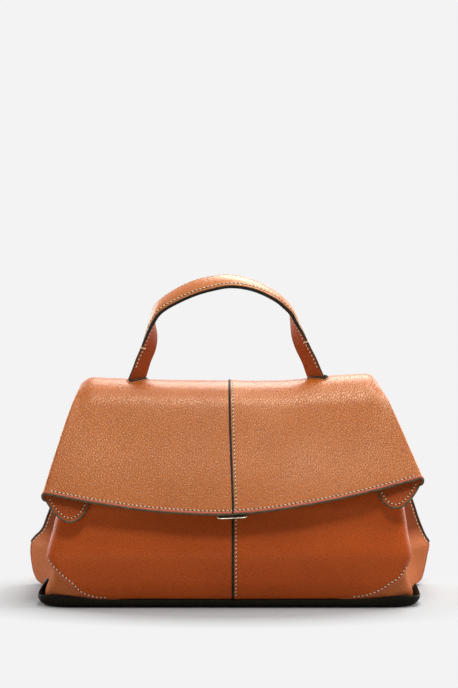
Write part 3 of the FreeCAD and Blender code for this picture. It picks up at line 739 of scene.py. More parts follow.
def leather(name, tone, deep, cell=1.9, relief=0.09, rough=(0.30, 0.40), gloss=0.6, crease=0.8,
            shade_heights=None):
    """Pebbled leather: slanting rounded grains with darker creases, soft mottling and polished tips.

    Where two heights are given, painted shade darkens the leather, and it grows rougher, from the first
    height to the second and above, for the shade on the tucked-in upper gussets.
    """
    material, tree, shader = new_material(name)
    place = grain_place(tree)
    grain = pebbles(tree, place, cell)
    mottle = noise(tree, place, MOTTLE_SCALE, 4.0)
    cloud = noise(tree, place, CLOUD_SCALE, 2.0)
    fine = noise(tree, place, FINE_SCALE, 2.0)
    colour = blend_colours(tree, spread(tree, mottle, 0.3, 0.7, 0.2, 0.0), tone, deep)
    colour = blend_colours(tree, spread(tree, cloud, 0.35, 0.65, 0.16, 0.0), colour, deep)
    roughness = spread(tree, grain, 0.2, 0.9, rough[1], rough[0])
    # Painted shade: the colour darkens and the leather dulls upwards between the two heights
    if shade_heights:
        height = add_node(tree, "SeparateXYZ", {0: place}).outputs["Y"]
        shade = spread(tree, height, shade_heights[0] * MM, shade_heights[1] * MM, 0.0, PAINTED_SHADE_STRENGTH)
        colour = blend_colours(tree, shade, colour, deep)
        roughness = combine(tree, "MULTIPLY_ADD", shade, PAINTED_SHADE_ROUGHER, roughness)
    relief_map = combine(tree, "MULTIPLY_ADD", fine, FINE_SHARE, grain)
    set_inputs(tree, shader, {
        "Base Color": blend_colours(tree, spread(tree, grain, 0.0, 0.8, crease, 0.0), colour, deep),
        "Roughness": roughness,
        "Normal": bump(tree, relief_map, 1.0, relief),
        "Specular IOR Level": gloss,
        "Specular Tint": GLOSS_TINT,
    })
    return material


def edge_paint(name, tone, worn):
    """Painted cut edge: nearly smooth, a little worn and uneven."""
    material, tree, shader = new_material(name)
    wear = noise(tree, object_place(tree), WEAR_SCALE, 4.0)
    set_inputs(tree, shader, {
        "Base Color": blend_colours(tree, spread(tree, wear, 0.45, 0.7, 0.0, 1.0), tone, worn),
        "Roughness": spread(tree, wear, 0.3, 0.7, 0.42, 0.6),
        "Normal": bump(tree, wear, 0.3, PAINT_RELIEF),
        "Specular IOR Level": 0.15,
    })
    return material


def thread(name):
    """Waxed thread: fine twisted strands across each stitch."""
    material, tree, shader = new_material(name)
    inputs = {"Vector": object_place(tree), "Scale": TWIST_SCALE, "Distortion": 1.2}
    twist = add_node(tree, "TexWave", inputs, bands_direction="DIAGONAL").outputs["Fac"]
    set_inputs(tree, shader, {
        "Base Color": blend_colours(tree, spread(tree, twist, 0.0, 1.0, 0.35, 0.0), THREAD, THREAD_DEEP),
        "Roughness": spread(tree, twist, 0.0, 1.0, 0.65, 0.5),
        "Normal": bump(tree, twist, 0.4, THREAD_RELIEF),
    })
    return material


def brushed_metal(name, tone, rough):
    """Metal with fine brushed lines and faint smudges."""
    material, tree, shader = new_material(name)
    place = object_place(tree)
    stretched = add_node(tree, "Mapping", {"Vector": place, "Scale": BRUSH_SCALE}).outputs["Vector"]
    lines = noise(tree, stretched, 1.0)
    smudge = noise(tree, place, SMUDGE_SCALE)
    dull = tuple(SMUDGE_DULL * part for part in tone[:3]) + (1,)
    set_inputs(tree, shader, {
        "Base Color": blend_colours(tree, spread(tree, smudge, 0.3, 0.7, 0.0, 0.6), tone, dull),
        "Roughness": spread(tree, smudge, 0.3, 0.7, rough, rough + SMUDGE_ROUGHER),
        "Normal": bump(tree, lines, 0.2, BRUSH_RELIEF),
        "Metallic": 1.0,
    })
    return material


def woven(name, tone, deep, place_of=grain_place):
    """Twill lining: fine diagonal weave with slubs."""
    material, tree, shader = new_material(name)
    place = place_of(tree)
    inputs = {"Vector": place, "Scale": WEAVE_SCALE, "Distortion": 0.6, "Detail": 2.0}
    weave = add_node(tree, "TexWave", inputs, bands_direction="DIAGONAL").outputs["Fac"]
    slub = noise(tree, place, SLUB_SCALE, 4.0)
    mixed = blend_colours(tree, spread(tree, weave, 0.0, 1.0, 0.7, 0.0), tone, deep)
    set_inputs(tree, shader, {
        "Base Color": blend_colours(tree, spread(tree, slub, 0.4, 0.7, 0.0, 0.4), mixed, deep),
        "Roughness": spread(tree, slub, 0.3, 0.7, 0.8, 0.95),
        "Normal": bump(tree, weave, 0.5, WEAVE_RELIEF),
        "Sheen Weight": 0.15,
    })
    return material


tan_leather = leather("pebbled_leather", TAN, TAN_DEEP)
panel_leather = leather("panel_leather", TAN_SHADED, TAN_SHADED_DEEP, relief=0.06, rough=(0.34, 0.46),
                        gloss=0.13, crease=0.4)
# The gusset leather is a paler copy of the tan leather with painted sheen, and has painted shade on its
# upper part
side_leather = leather("side_leather", SIDE_TAN_PAINTED_SHEEN, SIDE_DEEP, relief=0.08, rough=(0.42, 0.55), gloss=0.01,
                       crease=0.3, shade_heights=GUSSET_PAINTED_SHADE_HEIGHTS)
strap_leather = leather("strap_leather", TAN, TAN_DEEP, relief=0.05, gloss=1.0, crease=0.35)
# Rose leather: the front corners' turned edge, and painted highlight on the flap edge's bevel
rose_leather = leather("turned_edge_and_painted_highlight", ROSE, ROSE_DEEP, relief=0.08, gloss=0.15)
# Painted shade of the stitch grooves
groove_leather = leather("stitch_groove_painted_shade", GROOVE, GROOVE_DEEP, relief=0.05, gloss=0.05)
inner_leather = leather("inner_leather", RUSSET, RUSSET_DEEP, cell=1.4, relief=0.12, rough=(0.45, 0.62),
                        gloss=0.12)
black_leather = leather("base_leather", BLACK, BLACK_DEEP, relief=0.12, rough=(0.55, 0.70), gloss=0.1)
paint = edge_paint("edge_paint", PAINT, PAINT_WORN)
olive_paint = edge_paint("flap_edge_paint", OLIVE, OLIVE_WORN)
stitch_thread = thread("waxed_thread")
gold = brushed_metal("pale_gold", GOLD, 0.26)
# Dark metal for the closure plate: painted shade for the flap's shadow over it
bronze = brushed_metal("bronze_painted_shade", BRONZE, 0.4)
steel = brushed_metal("magnet_steel", STEEL, 0.34)
lining_cloth = woven("twill_lining", CLOTH, CLOTH_DEEP)
board_card = woven("pressed_board", CARD, CLOTH_DEEP, place_of=object_place)

# Rings round a slot: growth beyond the strap, width and height, name and material
SLOT_RINGS = ((1.2, (2.0, 3.2), "rim", paint), (2.8, (1.4, 0.8), "leather", tan_leather))


def dress(piece, slot, *nodes):
    """Hide the CAD nodes that a piece stands for; the piece and the slot are not used."""
    if nodes:
        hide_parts(*nodes)


# Body: one lofted wall, front panel round the corner into the folded gusset and out to the back edge

front_y = smooth_table(FRONT_Y)
back_y = smooth_table(BACK_Y)
front_half = smooth_table(FRONT_HALF)
front_round = smooth_table(FRONT_ROUND)
right_wider = smooth_table(RIGHT_WIDER)
back_half = {1: smooth_table(BACK_HALF_RIGHT), -1: smooth_table(BACK_HALF_LEFT)}
fold_tuck = smooth_table(FOLD_TUCK)
panel_low = {1: smooth_table(PANEL_LOW_RIGHT), -1: smooth_table(PANEL_LOW_LEFT)}


def swell(share, z, shape):
    """Bulge of a panel at a share of its half width and a height, from its size, lower end and height."""
    size, low, tall = shape
    return size * (1 - share ** 2) * np.sin(math.pi * ramp(z, low, tall))


def front_bow(x, z, half):
    """How far the front panel swells forward at a place on it."""
    wave = FRONT_WAVE * ripple(x, z, FRONT_WAVE_LONG, seed=2) * ramp(z, *FRONT_WAVE_RISE)
    return swell(x / half, z, FRONT_SWELL) + wave


def wall(z, side, corner_inset=0.0):
    """Half of the wall's plan at a height, as if on the right, and the distance along it at each point."""
    half = front_half(z) - corner_inset + (side > 0) * right_wider(z)
    y = front_y(z) + corner_inset
    curve = front_round(z)
    fold = np.array([half - fold_tuck(z), FOLD_Y])
    edge = np.array([back_half[side](z), back_y(z) - BACK_EDGE_IN])
    centre = np.array([half - curve, y + curve])
    toward = fold - centre
    leave = math.atan2(toward[1], toward[0]) - math.acos(curve / np.linalg.norm(toward))
    x = np.linspace(0, half - curve, FRONT_STEPS, endpoint=False)
    front = np.stack([x, y - front_bow(x, z, half - curve)], axis=-1)
    angle = np.linspace(-math.pi / 2, leave, CORNER_STEPS)[:, None]
    corner = centre + curve * np.hstack([np.cos(angle), np.sin(angle)])
    into = fold + unit(corner[-1] - fold) * FOLD_SOFT
    out = fold + unit(edge - fold) * FOLD_SOFT
    t = np.linspace(0, 1, FLAT_STEPS + 1)[1:, None]
    run_in = corner[-1] + (into - corner[-1]) * t
    turn = curve_between(into, fold, out, np.linspace(0, 1, FOLD_STEPS + 1)[1:, None])
    run_out = out + (edge - out) * t
    plan = np.vstack([front, corner, run_in, turn, run_out])
    return plan, runs(plan)


def panel_grid(side):
    """A front panel: rows down from the mouth, columns from the middle seam round the corner."""
    columns = FRONT_STEPS + CORNER_STEPS
    low = panel_low[side](wall(PANEL_MIDDLE, side)[1][:columns])
    z = PANEL_TOP + (low[None, :] - PANEL_TOP) * np.linspace(0, 1, PANEL_ROWS)[:, None]
    levels = np.linspace(BODY_LOW, PANEL_TOP, WALL_LEVELS)
    walls = [wall(level, side) for level in levels]
    plans = np.stack([np.column_stack([plan, run])[:columns] for plan, run in walls])
    places = np.stack([at(plans[:, column], levels, z[:, column]) for column in range(columns)], axis=1)
    x, y, across = np.moveaxis(places, -1, 0)
    if side > 0:
        y = y - SEAM_LIFT * near(x, SEAM_SOFT)
    x = x + side * SEAM_X * np.clip(1 - x / SEAM_FADE, 0, 1)
    return np.stack([x, y, z], axis=-1), np.stack([across, z], axis=-1)


def gusset_grid(side):
    """A gusset: a flange behind the front panel, the corner, the inward fold and the run to the back."""
    first = FRONT_STEPS - FLANGE_STEPS
    turned = FRONT_STEPS + CORNER_STEPS
    rows, uv_rows = [], []
    for level in np.linspace(GUSSET_TOP, BODY_LOW, GUSSET_ROWS):
        outer, run = wall(level, side)
        inner = wall(level, side, corner_inset=GUSSET_INSET)[0]
        behind = np.interp(np.arange(len(outer)), (turned - FLANGE_EASE, turned + FLANGE_EASE), (1, 0))
        plan = outer + (inner - outer) * behind[:, None]
        sag = GUSSET_SAG * ripple(run, level, GUSSET_SAG_LONG, seed=5)
        free = ramp(run, run[turned], GUSSET_SAG_RISE) * ramp(run[-1] - run, 0, GUSSET_SAG_FALL)
        plan[:, 0] += sag * free
        height = np.full(len(plan), level)
        rows.append(np.column_stack([plan, height])[first:])
        uv_rows.append(np.column_stack([run, height])[first:])
    return np.array(rows), np.array(uv_rows)


def side_sheets(prefix, grid_of, thick, face):
    """The right and left leathers of one kind, mirrored, and their grids."""
    grids = {}
    for side, name in SIDES:
        points, uvs = grid_of(side)
        points = points * np.array([side, 1, 1])
        piece = sheet(f"{prefix}_{name}_leather", points, uvs * np.array([side, 1]), thick,
                      [face, inner_leather, paint], flip=side < 0)
        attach(piece, "bag_body")
        dress(piece, "front_leather", f"{prefix}_{name}")
        grids[side] = points
    return grids


def back_sheet():
    levels = np.linspace(BACK_TOP, BODY_LOW, BACK_ROWS)
    share = np.linspace(-1, 1, BACK_COLUMNS)
    right = back_half[1](levels)[:, None]
    left = back_half[-1](levels)[:, None]
    x = np.where(share > 0, right, left) * share
    z = np.repeat(levels[:, None], BACK_COLUMNS, axis=1)
    bulge = swell(share, z, BACK_SWELL) + BACK_WAVE * ripple(x, z, BACK_WAVE_LONG, seed=7)
    points = np.stack([x, back_y(z) + bulge * ramp(z, *BACK_RISE), z], axis=-1)
    piece = sheet("back_panel_leather", points, points[:, :, [0, 2]], LEATHER,
                  [tan_leather, inner_leather, paint], flip=True)
    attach(piece, "bag_body")
    dress(piece, "front_leather", "back_panel")
    return points


def base():
    """Dark base: a shallow leather tray whose rim turns up at the corners."""
    around = np.linspace(0, 2 * math.pi, BASE_STEPS, endpoint=False)
    direction = np.stack([np.cos(around), np.sin(around)], axis=-1)
    scale = (np.abs(direction) ** BASE_POWER).sum(axis=1) ** (-1 / BASE_POWER)
    halves = np.array([BASE_HALF_WIDE, BASE_HALF_DEEP])
    outline = direction * scale[:, None] * halves
    x, y = outline[:, 0], outline[:, 1]
    rise = -RIM_FALL * ease((y - RIM_FALL_Y[0]) / (RIM_FALL_Y[1] - RIM_FALL_Y[0]))
    pinch = np.zeros(BASE_STEPS)
    for corner_x, corner_y, height, push in BASE_EARS:
        close = near(x - corner_x, EAR_WIDE) * near(y - corner_y, EAR_DEEP)
        rise = rise + height * close
        pinch = pinch + push * close ** 2
    ends = ease((np.abs(x) - BASE_HALF_WIDE + END_ROLL_LONG) / END_ROLL_LONG)
    rows = []
    for inward, z, lifted in BASE_RIM:
        roll = END_ROLL * (1 - z / END_ROLL_HIGH) ** 2 * ends
        moved = inward + lifted * pinch
        part = 1 - np.column_stack([moved + roll, moved]) / halves
        rows.append(np.column_stack([outline * part, z + lifted * rise]))
    points = np.vstack(rows)
    quads = ring_quads(np.arange(len(points)).reshape(len(rows), BASE_STEPS))[:, ::-1]
    piece = add_mesh("base_leather_tray", points, quads, points[:, :2] + points[:, 2:], [black_leather])
    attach(piece, "bag_body")
    dress(piece, "base_leather", "base_panel")


def seam_trim(panels):
    """Edge paint and stitching of the middle seam and of the front panels' lower corners."""
    right = panels[1]
    face = face_normals(right, False)[:, 0]
    seam = right[:, 0] + np.array([SEAM_EDGE_X, SEAM_EDGE_Y, 0])
    beads = [bead("front_seam_edge", seam, face, SEAM_BEAD, paint)]
    row = inset(right[:, 0], face, right[:, SEAM_INNER_STEPS], SEAM_STITCH)
    rows = [(row[SEAM_SEWN], face[SEAM_SEWN])]
    for side, name in SIDES:
        panel = panels[side]
        normals = face_normals(panel, side < 0)[-1]
        edge = panel[-1] - normals * CORNER_DEEP
        beads.append(bead(f"front_corner_edge_{name}", edge[CORNER_SHOWN], normals[CORNER_SHOWN],
                          CORNER_BEAD, rose_leather))
        row = inset(panel[-1], normals, panel[-INNER_STEPS], PANEL_STITCH)
        rows.append((row[CORNER_SEWN], normals[CORNER_SEWN]))
    return beads, rows


def wing_trim(gusset, back):
    """Edge paint and stitching of the back edges above the wing tips."""
    beads, rows = [], []
    for side, name in SIDES:
        grid = gusset[side]
        high = grid[:, -1, 2] > WING_EDGE_LOW
        edge = grid[high, -1]
        outward = np.tile(np.array([side, 0.0, 0.0]), (len(edge), 1))
        moved = edge + np.array([side * WING_EDGE_OUT, WING_EDGE_BACK, 0])
        beads.append(bead(f"wing_edge_{name}", moved, outward, WING_BEAD, paint))
        normals = face_normals(grid, side < 0)[high, -1]
        row = inset(edge, normals, grid[high, -WING_INNER_STEPS], WING_STITCH)
        rows.append((row + normals * WING_STITCH_LIFT, normals))
        rear = back[:, -1 if side > 0 else 0]
        rear = rear[rear[:, 2] > WING_EDGE_LOW] + np.array([-side * WING_STITCH, REAR_STITCH_LIFT, 0])
        rows.append((rear, np.tile(-FORWARD, (len(rear), 1))))
    return beads, rows


def body_trim(panels, gusset, back):
    seam_beads, seam_rows = seam_trim(panels)
    wing_beads, wing_rows = wing_trim(gusset, back)
    for piece in (*seam_beads, *wing_beads, stitches("body_stitching", seam_rows + wing_rows)):
        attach(piece, "bag_body")


def cloth(points):
    """Measure the longest column of a lining piece's grid; the length is not kept or used."""
    long = max(runs(column)[-1] for column in points.transpose(1, 0, 2))


def lining_half(level, side):
    """Half of the lining's plan at a height, from the middle of the front to the middle of the back."""
    keep = wall(level, side, corner_inset=LINING_GAP)[0][:-LINING_EDGE_STEPS]
    keep[:, 0] -= np.linspace(0, LINING_GAP, len(keep))
    last_x, last_y = keep[-1]
    depth = back_y(level) - LINING_BACK
    rear_x = np.linspace(last_x, 0, LINING_REAR_STEPS)
    rear_y = np.interp(rear_x, [0, last_x * LINING_REAR_SHARE, last_x], [depth, depth, last_y])
    return np.vstack([keep, np.column_stack([rear_x, rear_y])]) * np.array([side, 1])


def lining():
    """Cloth lining: one bag inside the walls."""
    rows, uv_rows = [], []
    for level in np.linspace(LINING_TOP, LINING_LOW, LINING_ROWS):
        whole = np.vstack([lining_half(level, -1)[::-1], lining_half(level, 1)[1:]])
        height = np.full(len(whole), level)
        rows.append(np.column_stack([whole, height]))
        uv_rows.append(np.column_stack([runs(whole), height]))
    points = np.array(rows)
    piece = sheet("lining_bag", points, np.array(uv_rows), CLOTH_THICK, [lining_cloth] * 3)
    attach(piece, "bag_body")
    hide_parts("lining_front", "lining_back", "lining_gusset_left", "lining_gusset_right")
    cloth(points)


def lining_floor():
    """Cloth over the board in the bottom of the bag."""
    columns, rows = LINING_FLOOR_STEPS
    x, y = np.meshgrid(np.linspace(-LINING_FLOOR_WIDE, LINING_FLOOR_WIDE, columns),
                       np.linspace(-LINING_FLOOR_DEEP, LINING_FLOOR_DEEP, rows))
    wave = LINING_FLOOR_WAVE * ripple(x, y, LINING_FLOOR_WAVE_LONG, seed=3)
    points = np.stack([x, y, LINING_LOW - LINING_FLOOR_DROP + wave], axis=-1)
    piece = sheet("lining_floor", points, points[:, :, :2], CLOTH_THICK, [lining_cloth] * 3)
    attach(piece, "bag_body")
    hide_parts("lining_base")
    cloth(points)


def hung_sheet(name, half, heights, depth, thick, material):
    """A sheet that hangs inside the front or back: half width, low and high edge, and depth by height."""
    columns, rows = HUNG_STEPS
    x, z = np.meshgrid(np.linspace(-half, half, columns), np.linspace(heights[1], heights[0], rows))
    points = np.stack([x, depth(z), z], axis=-1)
    piece = sheet(name, points, points[:, :, [0, 2]], thick, [material, material, paint])
    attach(piece, "bag_body")
    return piece, points


def facings():
    """Leather facings round the mouth."""
    front = hung_sheet("facing_front_band", FACING_HALF[0], (FACING_LOW, PANEL_TOP),
                       lambda z: front_y(z) + FACING_FRONT, THIN_LEATHER, inner_leather)[0]
    back = hung_sheet("facing_back_band", FACING_HALF[1], (FACING_LOW, BACK_TOP - FACING_BACK_DROP),
                      lambda z: back_y(z) - FACING_BACK, THIN_LEATHER, inner_leather)[0]
    dress(front, "inner_leather", "facing_front")
    dress(back, "inner_leather", "facing_back")


def pocket():
    """Slip pocket on the back lining, sewn at both sides and below."""
    piece, points = hung_sheet("slip_pocket", POCKET_HALF, POCKET_HEIGHTS,
                               lambda z: back_y(z) - POCKET_BACK, CLOTH_THICK, lining_cloth)
    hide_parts("inner_pocket")
    cloth(points)
    around = np.vstack([points[2:-2, 1], points[-2, 2:-2], points[-2:2:-1, -2]])
    toward = np.tile(FORWARD, (len(around), 1))
    sewn = stitches("pocket_stitching", [(around + toward * CLOTH_THICK, toward)])
    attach(sewn, "bag_body")


# Flap

flap_line = rounded_line(FLAP_CORNERS, FLAP_REACH)
flap_run = runs(flap_line)
flap_slope = unit(np.gradient(flap_line, axis=0))
CREST_RUN = flap_run[np.argmax(flap_line[:, 1])]
lobe_edge = smooth_table(LOBE_EDGE)
fold_radius = smooth_table(FOLD_RADIUS)


def flap_run_at(z):
    """Distance along the flap's profile where its front slope reaches a height."""
    front = flap_run > CREST_RUN
    return np.interp(-np.asarray(z, float), -flap_line[front, 1], flap_run[front])


EDGE_RUN = flap_run_at(FLAP_EDGE_Z)


def flap_low(share):
    """Distance along the profile of the flap's lower edge, from the share of its half width."""
    return flap_run_at(FLAP_EDGE_Z + (FLAP_CORNER_Z - FLAP_EDGE_Z) * share ** FLAP_EDGE_POWER)


def flap_half(run):
    """Half width of the flap between its side folds."""
    z = np.interp(run, flap_run, flap_line[:, 1])
    front = FLAP_CORNER_HALF - (z - FLAP_CORNER_Z) * FLAP_LEAN
    half = np.where(run > CREST_RUN, front, FLAP_TOP_HALF)
    return np.minimum(half, FLAP_CORNER_HALF)


def crest_shape(x, fall):
    """Height that the crest gains or loses at a place across and a distance from its highest line."""
    dip = CREST_DIP * (1 - (x / FLAP_TOP_HALF) ** 2)
    rise = CREST_RISE + CREST_RIGHT_RISE * ease((x - CREST_RIGHT_X) / CREST_RIGHT_LONG)
    shoulder = ease((np.abs(x) - SHOULDER_X) / SHOULDER_LONG) ** 2
    shoulder = shoulder * np.where(x > 0, SHOULDER_RIGHT, SHOULDER_LEFT)
    return (rise - dip) * near(fall, CREST_SOFT) - shoulder * near(fall, SHOULDER_SOFT)


def flap_place(x, run, depth):
    """A point of the flap from its place across, its run along the profile and its depth under the face."""
    fall = run - CREST_RUN
    settled = ease((run - HINGE_RUN) / HINGE_SOFT)
    turned = ease(fall / (EDGE_RUN - CREST_RUN) * FLAP_TURN_SPEED)
    turn = (CREST_TURN + FLAP_TURN * turned) * settled
    across = x + FLAP_SHIFT * settled + np.maximum(fall, 0) * np.sin(turn) * SIDE_SHARE
    along = run - x * np.sin(turn)
    y, z = np.moveaxis(at(flap_line, flap_run, along), -1, 0)
    slope_y, slope_z = np.moveaxis(at(flap_slope, flap_run, along), -1, 0)
    wave = sum(size * ripple(x, run, long, seed) for size, long, seed in FLAP_WAVES)
    under = depth + wave * settled * (1 - CREST_CALM * near(fall, CREST_SOFT))
    y = y - slope_z * under
    z = z + slope_y * under + crest_shape(x, fall) * settled
    return np.stack([across, y, z], axis=-1)


def flap_row(x, run, depth):
    """Points of the flap and the directions away from its face."""
    points = flap_place(x, run, depth)
    return points, unit(flap_place(x, run, depth - 1) - points)


def flap_grid():
    """Half of the flap: from the middle seam over the side fold to the inner edge of the folded wing."""
    front = np.linspace(0, 1, FLAP_FRONT_STEPS)
    fold = np.linspace(0, 1, FLAP_FOLD_STEPS + 1)[1:]
    wing = np.linspace(0, 1, FLAP_WING_STEPS + 1)[1:]
    low_fold = flap_run_at(FLAP_CORNER_Z - FOLD_FALL * ease(fold))
    low = np.concatenate([flap_low(front), low_fold, flap_run_at(lobe_edge(wing))])
    run = low[None, :] * np.linspace(0, 1, FLAP_ROWS)[:, None]
    half = flap_half(run)
    z = np.interp(run, flap_run, flap_line[:, 1])
    radius = fold_radius(z)
    wing_share = ease((WING_TOP_Z - z) / (WING_TOP_Z - FLAP_CORNER_Z)) * (run > CREST_RUN)
    wing_wide = WING_TOP_WIDE + (LOBE_WIDE - WING_TOP_WIDE) * wing_share
    first = np.concatenate([front, np.ones(len(fold) + len(wing))])
    angle = np.concatenate([np.zeros(len(front)), fold * math.pi, np.full(len(wing), math.pi)])
    beyond = np.concatenate([np.zeros(len(front) + len(fold)), wing])
    x = first * (half - radius) + radius * np.sin(angle) - beyond * wing_wide
    depth = radius * (1 - np.cos(angle)) + WING_DEEPER * beyond * wing_share
    flat = first * half + angle * radius + beyond * wing_wide
    return x, run, depth, flat


def flap():
    x, run, depth, flat = flap_grid()
    pieces, grids = [], {}
    for side, name in SIDES:
        lift = SEAM_LIFT * near(x, SEAM_SOFT) * (depth == 0) * (side > 0)
        points = flap_place(side * x, run, depth - lift)
        piece = sheet(f"flap_{name}_leather", points, np.stack([side * flat, -run], axis=-1), LEATHER,
                      [tan_leather, inner_leather, paint], flip=side < 0)
        dress(piece, "front_leather", f"flap_{name}")
        pieces.append(piece)
        grids[side] = points
    return pieces, grids


def flap_seam():
    """Painted edge and stitches of the middle seam over the flap."""
    run = np.linspace(FLAP_SEAM_START, EDGE_RUN, FLAP_SEAM_STEPS)
    edge = bead("flap_seam_edge", *flap_row(SEAM_EDGE_X, run, -FLAP_SEAM_LIFT), SEAM_BEAD, paint)
    row, up = flap_row(SEAM_STITCH, run, -SEAM_STITCH_LIFT)
    return edge, (row[FLAP_SEAM_SEWN], up[FLAP_SEAM_SEWN])


def flap_trim(grids):
    """Edge paint and stitching on the flap."""
    seam_edge, seam_row = flap_seam()
    pieces = [seam_edge]
    rows, lobe_rows = [seam_row], []
    front = slice(0, FLAP_FRONT_STEPS - 1)
    lobe = slice(FLAP_FRONT_STEPS + FLAP_FOLD_STEPS - 1, -1)
    for side, name in SIDES:
        points = grids[side]
        edge, up = points[-1], face_normals(points, side < 0)[-1]
        inner = points[-INNER_STEPS]
        pieces.append(bead(f"flap_edge_{name}", edge - up * LEATHER / 2, up, FLAP_BEAD, olive_paint))
        # The pale rose band is painted highlight of light on the edge's bevel
        band = inset(edge, up, inner, BAND_INSET)
        pieces.append(bead(f"flap_band_{name}", band, up, BAND_BEAD, rose_leather))
        row = inset(edge, up, inner, FLAP_STITCH)
        rows.append((row[front], up[front]))
        lobe_rows.append((row[lobe], up[lobe]))
        lobe_rows.append(((row - up * LEATHER)[lobe], -up[lobe]))
    pieces.append(stitches("flap_stitching", rows))
    pieces.append(stitches("flap_wing_stitching", lobe_rows, LOBE_PITCH, LOBE_LONG))
    return pieces


def flap_lining():
    columns, rows = FLAP_LINING_STEPS
    share = np.linspace(-1, 1, columns)
    first = HINGE_RUN + FLAP_LINING_IN
    low = flap_low(np.abs(share)) - FLAP_LINING_UP
    run = first + (low - first) * np.linspace(0, 1, rows)[:, None]
    x = share * (flap_half(run) - FLAP_LINING_IN)
    points = flap_place(x, run, LEATHER + FLAP_LINING_GAP)
    uvs = np.stack([x, -run], axis=-1)
    piece = sheet("flap_lining_cloth", points, uvs, CLOTH_THICK, [lining_cloth] * 3)
    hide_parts("flap_lining")
    cloth(points)
    return piece


def closure_bar():
    """Closure plate behind the flap's lower edge, with a rolled lip that shows below it."""
    columns, rows = PLATE_STEPS
    share = np.linspace(-1, 1, columns)
    x = np.tile(PLATE_X + share * PLATE_HALF, (rows, 1))
    rounding = PLATE_CORNER * np.abs(share) ** PLATE_CORNER_POWER
    low = EDGE_RUN + PLATE_SHOWS - rounding
    run = low + (2 * rounding - PLATE_TALL) * np.linspace(0, 1, rows)[:, None]
    points = flap_place(x, run, LEATHER + PLATE_DEPTH)
    # The plate's dark metal is painted shade for the flap's shadow over it
    plate = sheet("closure_plate_metal", points, points[:, :, [0, 2]], PLATE_THICK, [bronze] * 3, flip=True)
    edge, up = flap_row(x[0], run[0], LEATHER + LIP_DEPTH)
    lip = bead("closure_plate_lip", edge, up, (PLATE_LIP, PLATE_LIP), gold)
    dress(plate, "plate_metal", "closure_plate")
    return [plate, lip]


def run_at_depth(y):
    """Distance along the flap's profile at a distance behind the middle of the bag."""
    return np.interp(-y, -flap_line[:, 0], flap_run)


def handle_anchors():
    """Stiff patches under the crest behind the handle's feet."""
    pieces = []
    for side, name in SIDES:
        across = side * ANCHOR_X + np.linspace(-ANCHOR_HALF, ANCHOR_HALF, ANCHOR_STEPS)
        x, run = np.meshgrid(across, run_at_depth(np.linspace(ANCHOR_BACK, ANCHOR_FRONT, ANCHOR_STEPS)))
        points = flap_place(x, run, LEATHER + 2 * CLOTH_THICK)
        piece = sheet(f"handle_anchor_{name}_patch", points, np.stack([x, -run], axis=-1), THIN_LEATHER,
                      [inner_leather, inner_leather, paint])
        dress(piece, "board", f"handle_anchor_{name}")
        pieces.append(piece)
    return pieces


def slot_lips():
    """Leather lips round the slots where the handle enters the flap."""
    path, front, face = handle_frames()[:3]
    around = np.linspace(0, 2 * math.pi, SLOT_STEPS, endpoint=False)
    ring_of = np.stack([np.cos(around), np.sin(around)])
    ring_of = ring_of * (np.abs(ring_of) ** SLOT_POWER).sum(axis=0) ** (-1 / SLOT_POWER)
    thick = (STRAP_UNDER + STRAP_EDGE) * STRAP_FOOT_THICK
    pieces = []
    for side, name in SIDES:
        place = leg_point(path, side, SLOT_Z)
        for grow, size, kind, material in SLOT_RINGS:
            long = (STRAP_FOOT_HALF + grow) * ring_of[0][:, None] * front[place]
            short = (thick + grow) * ring_of[1][:, None] * face[place]
            ring = path[place] + long + short
            low, up = flap_row(ring[:, 0], run_at_depth(ring[:, 1]), -SLOT_LIFT)
            piece = bead(f"handle_slot_{name}_{kind}", low, up, size, material, closed=True)
            pieces.append(piece)
        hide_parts(f"handle_slot_{name}")
    return pieces


def build_flap():
    pieces, grids = flap()
    pieces += [*flap_trim(grids), flap_lining(), *closure_bar(), *handle_anchors(), *slot_lips()]
    for piece in pieces:
        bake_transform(piece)


# Handle

def handle_frames():
    """Points along the strap, its width and face directions, and the distances along it."""
    line = smooth_path(HANDLE_LINE)
    lean = smooth_path(np.column_stack([np.arange(len(HANDLE_LEAN)), HANDLE_LEAN]))[:, 1]
    run = runs(line)
    where = np.linspace(0, run[-1], HANDLE_POINTS)
    x, z = at(line, run, where).T
    lean = np.radians(np.interp(where, run, lean))[:, None]
    path = np.stack([x, np.full(HANDLE_POINTS, HANDLE_Y), z], axis=-1)
    along = unit(np.gradient(path, axis=0))
    outward = unit(np.stack([-along[:, 2], np.zeros(HANDLE_POINTS), along[:, 0]], axis=-1))
    front = FORWARD * np.cos(lean) - outward * np.sin(lean)
    face = outward * np.cos(lean) + FORWARD * np.sin(lean)
    return path, front, face, where


def leg_point(path, side, z):
    """Index of the strap's point that is nearest to a height on its right or left leg."""
    return np.argmin(np.where(path[:, 0] * side > 0, np.abs(path[:, 2] - z), np.inf))


def strap_girth(path):
    """Half width of the strap and the share of its full thickness: the feet have no padding."""
    padding = ease((path[:, 2] - PADDING_Z[0]) / (PADDING_Z[1] - PADDING_Z[0]))
    half = STRAP_FOOT_HALF + (STRAP_HALF - STRAP_FOOT_HALF) * padding
    return half, STRAP_FOOT_THICK + (1 - STRAP_FOOT_THICK) * padding


def crown_height(share):
    """Height of the strap's face over its middle line, from the share of the half width."""
    return STRAP_EDGE + STRAP_CROWN * (1 - np.abs(share) ** STRAP_ROUND) ** STRAP_ROUND_END


